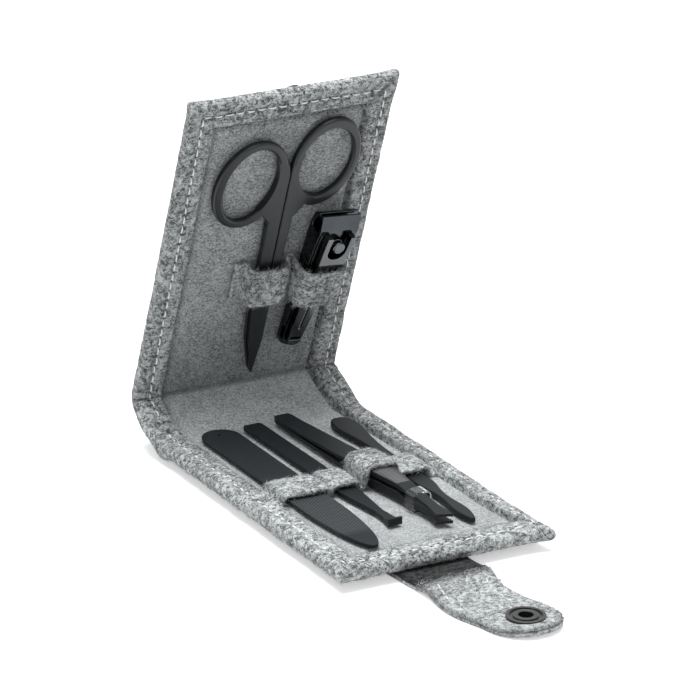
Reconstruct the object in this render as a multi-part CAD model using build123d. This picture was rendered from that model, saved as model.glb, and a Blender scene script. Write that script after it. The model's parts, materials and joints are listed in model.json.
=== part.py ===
from build123d import *
import math
import os

os.makedirs("parts", exist_ok=True)

# A folding felt case for manicure tools, standing open. Sizes are millimetres and degrees.
# +X runs across the case, -Y is the side of the closing strap and +Z is up.

# Case panels
panel_width = 65.0
panel_length = 103.5
spine_length = 18.0
felt_layer = 1.4
board_layer = 1.2
lining_layer = 0.6
border_width = 8.5
edge_wall = 2.2
edge_round = 2.0
corner_round = 3.0
crease_clearance = 0.3
board_setback = 6.0
spine_board_setback = 3.0
lining_overhang = 1.2
spine_angle = 28.0
lid_fold_angle = 81.0
closed_wedge_angle = 2.5

# Closing strap, cut at a slight lean, with its snap fastener
strap_width = 22.5
strap_layer = 1.2
strap_x = -2.8
strap_lean = 5.5
strap_root_length = 22.0
strap_front_gap = 1.6
strap_fold_clearance = 0.3
strap_tip_round = 6.5
snap_setback = 7.3
snap_end_margin = 8.9
snap_stack = 1.2
socket_radius = 5.4
socket_height = 0.8
socket_rim = 0.9
socket_floor = 0.35
socket_bore_radius = 2.55
cap_radius = 5.2
cap_thickness = 0.4
cap_tube_wall = 0.4
cap_fit = 0.05
stud_flange_radius = 4.5
stud_flange_thickness = 0.3
stud_radius = 1.85
stud_neck_radius = 1.45
stud_height = 2.3
stud_shank_radius = 1.0
eyelet_radius = 3.0
eyelet_thickness = 0.3

# Tools rest a little above the border, inside the loops
tool_lift = 0.2
loop_clearance = 0.35
loop_round = 0.8
band_felt = 1.5
base_band_start = 46.2
base_band_width = 11.8
lid_band_start = 32.5
lid_band_width = 12.5
lid_band_left = -9.0

# Scissors
scissors_thickness = 2.2
scissors_layer_gap = 0.1
scissors_pivot_x = 0.9
scissors_pivot_s = 39.0
scissors_boss_radius = 4.1
scissors_boss_clearance = 0.3
scissors_seam_x = 1.5
scissors_seam_gap = 0.3
ring_edge_round = 0.7
shank_edge_round = 0.25
left_ring_centre = (-10.5, 75.2)
left_ring_inner = (8.2, 12.0)
left_ring_outer = (11.3, 14.4)
left_ring_lean = 10.0
right_ring_centre = (12.35, 79.1)
right_ring_inner = (8.2, 11.4)
right_ring_outer = (10.6, 14.7)
right_ring_lean = 7.0
screw_radius = 1.5
screw_fit = 0.06
screw_seat = 0.02
screw_head_radius = 2.2
screw_head_height = 0.45
screw_head_gap = 0.1
screw_slot_width = 0.5
scissors_loop_left = -4.4
scissors_loop_right = 6.2

# Nail clipper
clipper_tail_x = 12.9
clipper_tail_s = 14.0
clipper_slant = 5.7
clipper_tilt = 2.8
clipper_length = 50.0
clipper_tail_radius = 3.7
clipper_head_width = 12.2
clipper_head_length = 8.0
leaf_thickness = 1.1
leaf_gap = 0.1
leaf_slope = 0.1
leaf_flat = 6.0
leaf_wall = 0.6
leaf_wall_fit = 0.15
leaf_wall_start = 8.0
leaf_wall_setback = 5.7
jaw_opening = 1.2
jaw_height = 3.2
lever_inset = 1.6
lever_gap = 0.15
lever_wall = 0.7
lever_start = 0.9
lever_setback = 5.4
lever_slot_width = 5.8
lever_slot_length = 8.1
lever_hole_width = 1.4
lever_hole_length = 3.6
lever_hole_y = 4.4
lever_groove_width = 0.6
lever_groove_depth = 0.35
lever_groove_start = 8.0
lever_groove_end = 18.0
post_radius = 1.9
post_setback = 9.0
post_top = 8.6
post_foot_radius = 2.8
post_foot_height = 0.5
post_fit = 0.05
post_hole_clearance = 0.3
rivet_radius = 0.7
rivet_head_radius = 1.15
rivet_head_height = 0.4
rivet_fit = 0.05
rivet_y = 5.0
rivet_head_gap = 0.2

# Nail file
file_x = -16.8
file_rear = 3.0
file_width = 11.4
file_length = 92.0
file_thickness = 1.0
file_tip_length = 30.0
file_hole_radius = 0.6
file_hole_y = 4.0
file_edge_round = 0.2

# Ear pick
pick_x = -5.2
pick_rear = 4.5
pick_slant = 0.6
pick_width = 5.8
pick_length = 79.5
pick_thickness = 1.2
pick_neck_width = 2.2
pick_neck_y = 71.0
pick_taper_y = 55.0
pick_foot_width = 4.4
pick_lip_height = 0.9

# Tweezers with a clear sleeve on the tips
tweezers_x = 4.6
tweezers_rear = 4.0
tweezers_slant = 1.9
tweezers_length = 87.0
tweezers_sheet = 0.8
tweezers_weld_gap = 0.1
tweezers_hinge_y = 4.0
tweezers_rear_width = 5.5
tweezers_grip_width = 7.3
tweezers_grip_start = 42.0
tweezers_tip_length = 21.0
tweezers_lower_wall = 2.3
tweezers_wall_gap = 1.0
tweezers_top = 4.6
tweezers_tip_gap = 1.2
tweezers_tip_width = 4.4
tweezers_lift = 0.45
sleeve_setback = 16.5
sleeve_length = 4.2
sleeve_wall = 0.35
sleeve_inner_width = 5.2
sleeve_inner_top = 4.7
sleeve_clearance = 0.1
sleeve_top_round = 1.2
sleeve_bottom_round = 0.6

# Cuticle pusher
pusher_x = 18.6
pusher_rear = 11.5
pusher_slant = -2.2
pusher_length = 80.5
pusher_thickness = 1.4
pusher_spade_width = 7.4
pusher_edge_round = 0.4

# Heights inside a panel, measured from its mid-plane, the inner side being +Z
panel_thickness = 2 * felt_layer + board_layer + lining_layer
inner_face = panel_thickness / 2
outer_face = -inner_face
board_low = outer_face + felt_layer
board_high = board_low + board_layer
lining_face = board_high + lining_layer
tool_height = inner_face + tool_lift
strap_thickness = 2 * strap_layer
crease_reach = inner_face + crease_clearance
crease_roll_radius = inner_face + strap_thickness
window_half = panel_width / 2 - border_width
pocket_half = panel_width / 2 - edge_wall
tiny = 1e-4

# Places along the clipper, set back from its jaws, and along the tweezers, set back from their tips
clipper_shoulder_y = clipper_length - clipper_head_length
leaf_wall_end = clipper_length - leaf_wall_setback
lever_end = clipper_length - lever_setback
lever_slot_start = lever_end - lever_slot_length
post_y = clipper_length - post_setback
tweezers_grip_end = tweezers_length - tweezers_tip_length
sleeve_start = tweezers_length - sleeve_setback

# The strap's middle part reaches up the closed front, so that its end lies along the closed lid
wedge_sin = math.sin(math.radians(closed_wedge_angle))
wedge_cos = math.cos(math.radians(closed_wedge_angle))
lid_crease_height = strap_thickness + inner_face + spine_length
strap_front = panel_length + strap_front_gap
tip_over_lid = inner_face + snap_stack + strap_layer
fold_over_crease = (tip_over_lid + strap_front * wedge_sin) / wedge_cos
riser_length = lid_crease_height + fold_over_crease - strap_layer
tip_length = snap_setback + snap_end_margin
strap_reach = strap_front_gap + riser_length + tip_length

# Places of the three panels: the case is centred on Y and rests on Z = 0
spine_back = spine_length * math.cos(math.radians(spine_angle)) + inner_face
crease_y = (panel_length + strap_reach - spine_back) / 2
base_place = Pos(0, crease_y, strap_thickness + inner_face)
spine_place = base_place * Rot(spine_angle, 0, 0)
lid_place = spine_place * Pos(0, spine_length, 0) * Rot(lid_fold_angle, 0, 0)
strap_place = Pos(strap_x, crease_y - panel_length - strap_front_gap, strap_layer)


def block(x_range, y_range, z_range):
    """Box between two x, two y and two z values."""
    size = [high - low for low, high in (x_range, y_range, z_range)]
    middle = [(high + low) / 2 for low, high in (x_range, y_range, z_range)]
    return Pos(*middle) * Box(*size)


def plate(outline, low, high):
    """Plan outline made solid between two heights."""
    return extrude(Pos(0, 0, low) * outline, high - low, dir=(0, 0, 1))


def side_prism(outline, width):
    """Outline drawn in (y, z), made solid across x."""
    return extrude(Plane.YZ * outline, width / 2, both=True)


def width_outline(stations):
    """Outline that is symmetric about y, smooth through (y, half width) stations."""
    right = [(half, y) for y, half in stations]
    left = [(-half, y) for y, half in stations]
    sides = Curve() + Spline(*right) + Spline(*left)
    sides += Line(left[0], right[0])
    sides += Line(left[-1], right[-1])
    return make_face(sides)


def top_edges(solid):
    return solid.edges().group_by(Axis.Z)[-1]


def bottom_edges(solid):
    return solid.edges().group_by(Axis.Z)[0]


def save(name, place, solid):
    export_step(place * solid, "parts/" + name + ".step")


# ---- Panels of the case

def panel_blank():
    """Felt outside of a panel before it is hollowed, its crease at y = 0."""
    plan = Pos(0, panel_length / 2) * Rectangle(panel_width, panel_length)
    far_corners = plan.vertices().sort_by(Axis.Y)[-2:]
    plan = fillet(far_corners, corner_round)
    blank = plate(plan, outer_face, inner_face)
    rim = top_edges(blank) + bottom_edges(blank)
    rim = rim.filter_by(lambda edge: edge.center().Y > tiny)
    return fillet(rim, edge_round)


def crease_cutter(roll_radius, split_height):
    """Room at a panel's end for the spine's round end, and for its roll below the split."""
    reach = panel_width
    roll = Rot(0, 90, 0) * Cylinder(roll_radius, 2 * reach)
    roll &= block((-reach, reach), (-reach, reach), (-reach, split_height))
    end = block((-reach, reach), (-reach, 0), (-reach, reach))
    step = block((-reach, reach), (-reach, crease_reach), (split_height, reach))
    return roll + end + step


def panel_felt(roll_radius, split_height):
    """Outer felt with its border turned inside, open at the lining and at the crease."""
    felt = panel_blank()
    pocket_end = panel_length - edge_wall
    felt -= block((-pocket_half, pocket_half), (board_setback, pocket_end), (board_low, board_high))
    felt -= block((-pocket_half, pocket_half), (-1, pocket_end), (board_high, lining_face))
    window_end = panel_length - border_width
    felt -= block((-window_half, window_half), (-1, window_end), (lining_face, inner_face + 1))
    return felt - crease_cutter(roll_radius, split_height)


def panel_board():
    pocket_end = panel_length - edge_wall
    return block((-pocket_half, pocket_half), (board_setback, pocket_end), (board_low, board_high))


def panel_lining():
    pocket_end = panel_length - edge_wall
    return block((-pocket_half, pocket_half), (crease_reach, pocket_end), (board_high, lining_face))


def spine_outline():
    """Side outline of the spine: round ends, and the felt roll that the case rests on."""
    slope = math.asin((crease_roll_radius - inner_face) / spine_length)
    down_y = math.sin(slope)
    down_z = -math.cos(slope)
    far = 2 * crease_roll_radius
    outline = Pos(spine_length / 2, 0) * Rectangle(spine_length, panel_thickness)
    outline += Circle(inner_face)
    outline += Pos(spine_length, 0) * Circle(inner_face)
    roll_corners = [(0, 0), (-far, 0), (-far, -far), (far * down_y, far * down_z)]
    outline += Circle(crease_roll_radius) & Polygon(*roll_corners)
    roll_tangent = (crease_roll_radius * down_y, crease_roll_radius * down_z)
    lid_tangent = (spine_length + inner_face * down_y, inner_face * down_z)
    outline += Polygon((0, 0), roll_tangent, lid_tangent, (spine_length, 0))
    return outline


def spine_board():
    board_end = spine_length - spine_board_setback
    return block((-pocket_half, pocket_half), (spine_board_setback, board_end), (board_low, board_high))


def spine_lining():
    lining_end = spine_length + lining_overhang
    return block((-pocket_half, pocket_half), (-lining_overhang, lining_end), (board_high, lining_face))


def spine_felt():
    felt = side_prism(spine_outline(), panel_width)
    felt -= spine_board()
    felt -= spine_lining()
    reach = spine_length + panel_thickness
    felt -= block((-window_half, window_half), (-reach, 2 * reach), (lining_face, inner_face + 1))
    return felt


def band(loops, left_end, right_end, start, width):
    """Felt strip sewn to the lining, raised into loops given as (left, right, top) inside."""
    strip_height = lining_face + band_felt
    outline = Pos((left_end + right_end) / 2, (lining_face + strip_height) / 2)
    outline *= Rectangle(right_end - left_end, band_felt)
    for left, right, top in loops:
        arch = loop_section(left - band_felt, right + band_felt, top + band_felt)
        outline += arch
    for left, right, top in loops:
        outline -= loop_section(left, right, top)
    outline &= Pos(0, inner_face) * Rectangle(2 * window_half, 4 * spine_length)
    return Pos(0, start, 0) * extrude(Plane.XZ * outline, width, dir=(0, 1, 0))


def loop_section(left, right, top):
    """Section of a loop's inside or outside, its two upper corners rounded."""
    section = Pos((left + right) / 2, (lining_face + top) / 2)
    section *= Rectangle(right - left, top - lining_face)
    upper_corners = section.vertices().sort_by(Axis.Y)[-2:]
    return fillet(upper_corners, loop_round)


# ---- Places of the tools, in the panel that carries them

def base_tool_place(x, rear, slant, lift):
    """Tool's rear at x, its length running to the front of the base."""
    return Pos(x, -rear, tool_height + lift) * Rot(0, 0, 180 + slant)


def base_loop(x, rear, slant, width, top):
    """Loop round a tool that crosses the band at a slant."""
    lean = math.tan(math.radians(slant))
    middle = x + (base_band_start + base_band_width / 2 - rear) * lean
    half = width / 2 + base_band_width / 2 * abs(lean) + loop_clearance
    return middle - half, middle + half, top + loop_clearance


def base_band():
    file_top = tool_height + file_thickness
    pick_top = tool_height + pick_thickness
    tweezers_loop_top = tool_height + tweezers_lift + tweezers_top
    pusher_top = tool_height + pusher_thickness
    loops = [
        base_loop(file_x, file_rear, 0, file_width, file_top),
        base_loop(pick_x, pick_rear, pick_slant, pick_width, pick_top),
        base_loop(tweezers_x, tweezers_rear, tweezers_slant, tweezers_grip_width, tweezers_loop_top),
        base_loop(pusher_x, pusher_rear, pusher_slant, pusher_spade_width, pusher_top),
    ]
    strip = band(loops, -window_half, window_half, base_band_start, base_band_width)
    return Pos(0, -2 * base_band_start - base_band_width, 0) * strip


def lid_band():
    scissors_top = tool_height + scissors_thickness + screw_head_gap + screw_head_height
    loops = [
        (scissors_loop_left, scissors_loop_right, scissors_top + loop_clearance),
        clipper_loop(),
    ]
    return band(loops, lid_band_left, window_half, lid_band_start, lid_band_width)


# ---- Scissors, in the lid's own (x, s) plane

def ring_outline(centre, radii, lean):
    return Pos(*centre) * Rot(0, 0, -lean) * Ellipse(*radii)


def scissors_handle(ring, inner, outer, lean, shank_points):
    """Shank and ring of one half, rounded on both faces and cut off round the pivot."""
    loop = ring_outline(ring, outer, lean) - ring_outline(ring, inner, lean)
    loop = plate(loop, 0, scissors_thickness)
    loop = fillet(top_edges(loop) + bottom_edges(loop), ring_edge_round)
    shank = plate(Polygon(*shank_points), 0, scissors_thickness)
    shank = fillet(top_edges(shank) + bottom_edges(shank), shank_edge_round)
    shank -= plate(ring_outline(ring, inner, lean), -1, 2 * scissors_thickness)
    handle = loop + shank
    boss_room = scissors_boss(scissors_boss_radius + scissors_boss_clearance)
    return handle - plate(boss_room, -1, 2 * scissors_thickness)


def scissors_boss(radius):
    return Pos(scissors_pivot_x, scissors_pivot_s) * Circle(radius)


layer_thickness = (scissors_thickness - scissors_layer_gap) / 2
upper_layer = scissors_thickness - layer_thickness
seam_left = scissors_seam_x - scissors_seam_gap / 2
seam_right = scissors_seam_x + scissors_seam_gap / 2
blade_top = scissors_pivot_s
link_top = scissors_pivot_s + scissors_boss_radius + 2


def scissors_left_half():
    """Half with the left ring; its blade is the upper one, on the right of the seam."""
    shank = [(-2.4, 42.0), (-2.6, 61.0), (-7.0, 66.0), (-10.0, 75.0), (-2.0, 82.0)]
    shank += [(0.6, 80.5), (seam_left, 77.0), (seam_left, 42.0)]
    handle = scissors_handle(left_ring_centre, left_ring_inner, left_ring_outer,
                             left_ring_lean, shank)
    blade_points = [(-2.6, blade_top), (-2.1, 32.0), (-0.9, 19.0), (1.5, 7.4), (1.9, 6.6)]
    blade_points += [(2.3, 7.2), (3.5, 19.0), (3.5, 32.0), (4.2, blade_top)]
    link_points = [(-2.4, blade_top), (-2.4, link_top), (seam_left, link_top)]
    link_points += [(seam_left, blade_top)]
    lap = scissors_boss(scissors_boss_radius) + Polygon(*blade_points) + Polygon(*link_points)
    half = handle + plate(lap, upper_layer, scissors_thickness)
    screw_hole = scissors_boss(screw_radius + screw_fit)
    return half - plate(screw_hole, 0, scissors_thickness)


def scissors_right_half():
    """Half with the right ring; its blade is the lower one, on the left of the seam."""
    shank = [(seam_right, 42.0), (seam_right, 79.0), (4.0, 84.0), (12.0, 79.0), (11.0, 67.0)]
    shank += [(8.0, 65.5), (4.9, 61.5), (4.5, 42.0)]
    handle = scissors_handle(right_ring_centre, right_ring_inner, right_ring_outer,
                             right_ring_lean, shank)
    blade_points = [(-3.1, blade_top), (-2.7, 32.0), (-1.5, 19.0), (1.3, 7.8), (1.8, 7.4)]
    blade_points += [(1.6, 19.0), (1.4, 32.0), (1.8, blade_top)]
    link_points = [(seam_right, blade_top), (seam_right, link_top), (4.5, link_top)]
    link_points += [(4.5, blade_top)]
    lap = scissors_boss(scissors_boss_radius) + Polygon(*blade_points) + Polygon(*link_points)
    half = handle + plate(lap, 0, layer_thickness)
    screw_hole = scissors_boss(screw_radius + screw_seat)
    return half - plate(screw_hole, 0, scissors_thickness)


def scissors_screw():
    head_low = scissors_thickness + screw_head_gap
    screw = plate(scissors_boss(screw_radius), 0, head_low)
    screw += plate(scissors_boss(screw_head_radius), head_low, head_low + screw_head_height)
    slot = Pos(scissors_pivot_x, scissors_pivot_s) * Rot(0, 0, 35)
    slot *= Rectangle(3 * screw_head_radius, screw_slot_width)
    screw -= plate(slot, head_low + screw_head_height / 2, head_low + 2 * screw_head_height)
    return screw


# ---- Nail clipper, its tail at y = 0 and its jaws at y = clipper_length

clipper_place = Pos(clipper_tail_x, clipper_tail_s, tool_height) * Rot(0, 0, -clipper_slant)
clipper_place *= Rot(clipper_tilt, 0, 0)


def clipper_plan(inset):
    """Plan of the clipper: a round tail that widens to the jaws, its sides drawn in by an inset."""
    tail = clipper_tail_radius - inset
    head = clipper_head_width / 2 - inset
    right = [(tail, clipper_tail_radius), (head, clipper_shoulder_y), (head, clipper_length)]
    left = [(-x, y) for x, y in reversed(right)]
    return Polygon(*(right + left)) + Pos(0, clipper_tail_radius) * Circle(tail)


def leaf_top(y):
    """Height of the upper leaf's top face."""
    return 2 * leaf_thickness + leaf_gap + leaf_slope * max(0.0, y - leaf_flat)


def lever_height(y):
    """Height of the lever's top face: low at the tail, stepping up to the jaws."""
    stations = [(0.0, 1.3), (17.0, 1.4), (31.5, 1.7), (34.5, 2.5), (clipper_length, 2.4)]
    for (y_low, low), (y_high, high) in zip(stations, stations[1:]):
        if y <= y_high:
            return leaf_top(y) + low + (high - low) * (y - y_low) / (y_high - y_low)
    return leaf_top(y) + high


def clipper_loop():
    """Loop round the clipper's widest and highest section within the band."""
    far = lid_band_start + lid_band_width
    y_far = (far - clipper_tail_s) / math.cos(math.radians(clipper_slant))
    y_near = (lid_band_start - clipper_tail_s) / math.cos(math.radians(clipper_slant))
    lean = math.tan(math.radians(clipper_slant))
    x_near = clipper_tail_x + (lid_band_start - clipper_tail_s) * lean
    x_far = clipper_tail_x + (far - clipper_tail_s) * lean
    widen = (clipper_head_width / 2 - clipper_tail_radius) / (clipper_shoulder_y - clipper_tail_radius)
    half_far = clipper_tail_radius + widen * (y_far - clipper_tail_radius)
    half_near = clipper_tail_radius + widen * (y_near - clipper_tail_radius)
    tilt = math.radians(clipper_tilt)
    top = tool_height + y_far * math.sin(tilt) + lever_height(y_far) * math.cos(tilt)
    left = x_near - half_near - loop_clearance
    right = x_far + half_far + loop_clearance
    return left, right, top + loop_clearance


def clipper_lower_leaf():
    jaw_start = clipper_length - 4.5
    points = [(0, 0), (jaw_start + 0.5, 0), (clipper_length - 1.0, 0.9)]
    points += [(clipper_length, jaw_height - 0.7), (clipper_length, jaw_height)]
    points += [(clipper_length - 0.8, jaw_height), (clipper_length - 2.5, 1.9)]
    points += [(jaw_start, leaf_thickness), (0, leaf_thickness)]
    leaf = side_prism(Polygon(*points), 2 * clipper_head_width)
    leaf &= plate(clipper_plan(0), -1, 2 * jaw_height)
    wall_top = leaf_top(leaf_wall_end) - 0.2
    wall_points = [(leaf_wall_start, leaf_thickness / 2), (leaf_wall_end, leaf_thickness / 2)]
    wall_points += [(leaf_wall_end, wall_top), (leaf_wall_start, leaf_top(leaf_wall_start) - 0.2)]
    walls = side_prism(Polygon(*wall_points), 2 * clipper_head_width)
    rim = plate(clipper_plan(0), 0, 3 * jaw_height)
    rim -= plate(clipper_plan(leaf_wall), -1, 4 * jaw_height)
    leaf += walls & rim
    leaf -= Pos(0, post_y, 0) * Cylinder(post_radius + post_fit, 4 * leaf_thickness)
    foot = Circle(post_foot_radius + post_fit)
    leaf -= Pos(0, post_y, 0) * plate(foot, 0, post_foot_height)
    leaf -= Pos(0, rivet_y, 0) * Cylinder(rivet_radius + rivet_fit, 4 * leaf_thickness)
    head = Circle(rivet_head_radius + rivet_fit)
    leaf -= Pos(0, rivet_y, 0) * plate(head, 0, rivet_head_height)
    return leaf


def clipper_upper_leaf():
    low = leaf_thickness + leaf_gap
    rise_end = clipper_length - 6.0
    rise = leaf_slope * (rise_end - leaf_flat)
    jaw_low = jaw_height + jaw_opening
    points = [(0, low), (leaf_flat, low), (rise_end, low + rise)]
    points += [(clipper_length - 2.5, low + rise - 0.1), (clipper_length - 0.6, jaw_low)]
    points += [(clipper_length, jaw_low), (clipper_length, jaw_low + 0.6)]
    points += [(rise_end + 1.6, leaf_top(rise_end)), (rise_end, leaf_top(rise_end))]
    points += [(leaf_flat, leaf_top(leaf_flat)), (0, leaf_top(0))]
    leaf = side_prism(Polygon(*points), 2 * clipper_head_width)
    inner_plan = clipper_plan(leaf_wall + leaf_wall_fit)
    head_start = leaf_wall_end + leaf_wall_fit
    head_length = clipper_length - head_start
    head_zone = Pos(0, head_start + head_length / 2) * Rectangle(2 * clipper_head_width, head_length)
    plan = inner_plan + (clipper_plan(0) & head_zone)
    leaf &= plate(plan, 0, 3 * jaw_height)
    leaf -= Pos(0, post_y, 0) * Cylinder(post_radius + post_hole_clearance, 8 * jaw_height)
    leaf -= Pos(0, rivet_y, 0) * Cylinder(rivet_radius + 2 * rivet_fit, 8 * jaw_height)
    return leaf


def clipper_lever():
    """Channel-shaped lever lying on the upper leaf, slotted round the post."""
    stations = [lever_start, 17.0, 31.5, 34.5, lever_end]
    top = [(y, lever_height(y)) for y in stations]
    low = [(y, leaf_top(y) + lever_gap) for y in (lever_end, leaf_flat, lever_start)]
    lever = side_prism(Polygon(*(top + low)), 2 * clipper_head_width)
    plan = clipper_plan(lever_inset)
    lever &= plate(plan, 0, 4 * jaw_height)
    hollow_top = [(y, lever_height(y) - lever_wall) for y in stations]
    hollow = side_prism(Polygon(*(hollow_top + low)), 2 * clipper_head_width)
    hollow_end = lever_end - lever_wall
    hollow_plan = clipper_plan(lever_inset + lever_wall)
    hollow_plan &= Pos(0, hollow_end / 2) * Rectangle(2 * clipper_head_width, hollow_end)
    lever -= hollow & plate(hollow_plan, 0, 4 * jaw_height)
    slot = Pos(0, lever_slot_start + lever_slot_width / 2) * Circle(lever_slot_width / 2)
    slot += Pos(0, (lever_slot_start + lever_slot_width / 2 + lever_end + 1) / 2) * Rectangle(
        lever_slot_width, lever_end + 1 - lever_slot_start - lever_slot_width / 2)
    lever -= plate(slot, 0, 4 * jaw_height)
    hole = Pos(0, lever_hole_y) * SlotOverall(lever_hole_length, lever_hole_width)
    lever -= plate(hole, lever_height(lever_hole_y) - 1.0, 4 * jaw_height)
    groove_length = lever_groove_end - lever_groove_start
    groove = Pos(0, lever_groove_start + groove_length / 2)
    groove *= Rectangle(lever_groove_width, groove_length)
    groove_points = [(y, lever_height(y) - lever_groove_depth) for y in stations]
    groove_points += [(lever_end, 4 * jaw_height), (lever_start, 4 * jaw_height)]
    groove_zone = side_prism(Polygon(*groove_points), clipper_head_width)
    lever -= groove_zone & plate(groove, 0, 4 * jaw_height)
    return lever


def clipper_post():
    """Post through both leaves, with a foot below and a notched knob above."""
    post = plate(Circle(post_radius), 0, post_top)
    post = fillet(top_edges(post), 0.5)
    post += plate(Circle(post_foot_radius), 0, post_foot_height)
    notch = block((-post_radius, post_radius), (0.4, 2 * post_radius), (post_top - 1.9, post_top - 1.0))
    post -= notch
    return Pos(0, post_y, 0) * post


def clipper_rivet():
    head_low = leaf_top(0) + rivet_head_gap
    rivet = plate(Circle(rivet_radius), 0, head_low)
    rivet += plate(Circle(rivet_head_radius), 0, rivet_head_height)
    rivet += plate(Circle(rivet_head_radius), head_low, head_low + rivet_head_height)
    return Pos(0, rivet_y, 0) * rivet


# ---- Base tools, each with its rear at y = 0

def nail_file():
    half = file_width / 2
    body_end = file_length - file_tip_length
    body = Pos(0, (half + body_end) / 2) * Rectangle(file_width, body_end - half)
    outline = body + Pos(0, half) * Circle(half)
    outline += Pos(0, body_end) * Ellipse(half, file_tip_length)
    outline -= Pos(0, file_hole_y) * Circle(file_hole_radius)
    blade = plate(outline, 0, file_thickness)
    return fillet(top_edges(blade) + bottom_edges(blade), file_edge_round)


def ear_pick():
    half = pick_width / 2
    neck = pick_neck_width / 2
    foot = pick_foot_width / 2
    right = [(half, 0), (half, pick_taper_y), (neck, pick_neck_y)]
    right += [(neck + 0.3, pick_length - 4.0), (foot, pick_length)]
    left = [(-x, y) for x, y in reversed(right)]
    outline = Polygon(*(right + left))
    rear_corners = outline.vertices().sort_by(Axis.Y)[:2]
    outline = fillet(rear_corners, 1.0)
    bends = outline.vertices().filter_by(lambda v: pick_taper_y - 1 < v.Y < pick_length - 1)
    outline = fillet(bends, 5.0)
    top = pick_thickness
    lip = pick_thickness + pick_lip_height
    points = [(0, 0), (pick_length, 0), (pick_length, lip), (pick_length - 0.7, lip)]
    points += [(pick_length - 2.2, top), (0, top)]
    return plate(outline, 0, lip) & side_prism(Polygon(*points), 2 * pick_width)


def tweezers_plan():
    """Plan of either arm: round rear, broad grip, slim neck and flared tip."""
    grip = tweezers_grip_width / 2
    rear = tweezers_rear_width / 2
    tip = tweezers_tip_width / 2
    right = [(rear - 0.6, 0), (rear, 2.0), (grip, tweezers_grip_start + 6.0)]
    right += [(grip, tweezers_grip_start + 11.0), (grip - 1.3, tweezers_grip_end - 2.0)]
    right += [(grip - 1.7, sleeve_start), (grip - 2.0, sleeve_start + sleeve_length)]
    right += [(grip - 2.1, tweezers_length - 7.0), (tip, tweezers_length - 1.6)]
    left = [(-x, y) for x, y in reversed(right)]
    left[0] = (-tip, tweezers_length)
    return Polygon(*(right + left))


def tweezers_inner_plan():
    """Room between the side walls of the grip."""
    zone_length = tweezers_grip_end - tweezers_grip_start - 1.0
    zone = Rectangle(2 * tweezers_grip_width, zone_length)
    zone = Pos(0, tweezers_grip_start + zone_length / 2) * zone
    return offset(tweezers_plan(), -tweezers_sheet) & zone


def tweezers_lower_arm():
    sheet = tweezers_sheet
    wall = tweezers_lower_wall
    points = [(0, 0), (tweezers_length, 0), (tweezers_length, sheet), (sleeve_start - 0.5, sheet)]
    points += [(tweezers_grip_end, wall), (tweezers_grip_start + 2.0, wall)]
    points += [(tweezers_grip_start - 4.0, sheet), (0, sheet)]
    arm = side_prism(Polygon(*points), 2 * tweezers_grip_width) & plate(tweezers_plan(), 0, tweezers_top)
    return arm - plate(tweezers_inner_plan(), sheet, tweezers_top)


def tweezers_upper_arm():
    sheet = tweezers_sheet
    low = sheet + tweezers_weld_gap
    wall_low = tweezers_lower_wall + tweezers_wall_gap
    tip_low = sheet + tweezers_tip_gap
    rise_start = tweezers_hinge_y + 2.0
    neck = tweezers_top - 0.7
    bow_y = tweezers_grip_start - 6.0
    points = [(0, low), (rise_start, low), (bow_y, 2 * wall_low / 3)]
    points += [(tweezers_grip_start + 6.0, wall_low)]
    points += [(tweezers_grip_end, wall_low), (sleeve_start, neck - sheet)]
    points += [(tweezers_length, tip_low), (tweezers_length, tip_low + sheet)]
    points += [(sleeve_start + sleeve_length, neck - 0.15), (sleeve_start - 0.3, neck)]
    points += [(tweezers_grip_end, tweezers_top), (tweezers_grip_start + 8.0, tweezers_top)]
    points += [(bow_y, 2 * wall_low / 3 + sheet + 0.1), (rise_start, low + sheet)]
    points += [(0, low + sheet)]
    arm = side_prism(Polygon(*points), 2 * tweezers_grip_width) & plate(tweezers_plan(), 0, 2 * tweezers_top)
    channel_start = tweezers_grip_start + 8.0
    channel_room = Rectangle(2 * tweezers_grip_width, 2 * tweezers_length)
    channel = tweezers_inner_plan() & Pos(0, channel_start + tweezers_length) * channel_room
    return arm - plate(channel, 0, tweezers_top - sheet)


def tweezers_sleeve():
    low = -sleeve_clearance
    inner = sleeve_section(sleeve_inner_width, low, sleeve_inner_top, 0)
    outer = sleeve_section(sleeve_inner_width, low, sleeve_inner_top, sleeve_wall)
    ring = extrude(Plane.XZ * (outer - inner), sleeve_length, dir=(0, 1, 0))
    return Pos(0, sleeve_start, 0) * ring


def sleeve_section(width, low, high, wall):
    """Section of the sleeve: round above, nearly square below."""
    section = Pos(0, (low + high) / 2) * Rectangle(width + 2 * wall, high - low + 2 * wall)
    corners = section.vertices().sort_by(Axis.Y)
    section = fillet(corners[-2:], sleeve_top_round + wall)
    corners = section.vertices().sort_by(Axis.Y)
    return fillet(corners[:2], sleeve_bottom_round / 2 + wall)


def cuticle_pusher():
    half = pusher_spade_width / 2
    stations = [(0.0, 1.2), (1.2, 2.6), (4.0, half - 0.2), (7.5, half), (13.0, 3.0), (20.0, 2.1)]
    stations += [(27.0, 1.8), (38.0, 2.2), (48.0, 2.6), (53.5, 2.6), (58.0, 1.8), (63.5, 1.3)]
    stations += [(68.0, 1.6), (72.5, 2.0), (77.0, 1.6), (pusher_length, 0.5)]
    blade = plate(width_outline(stations), 0, pusher_thickness)
    return fillet(top_edges(blade), pusher_edge_round)


# ---- Strap: three straight parts with two fold lines, each of two felt layers

def strap_part(start, end, rounded_start, low, high):
    """One layer of a strap part between two fold lines along -Y from the first fold line."""
    near = -start
    far = -end
    sides = (-2 * strap_width, 2 * strap_width)
    layer = block(sides, (far, near), (low, high))
    if rounded_start:
        round_end = Pos(0, near, 0) * Rot(0, 90, 0) * Cylinder(strap_layer, 4 * strap_width)
        layer += round_end & block(sides, (near - strap_layer, near + strap_layer), (low, high))
    return layer & strap_strip()


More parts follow.
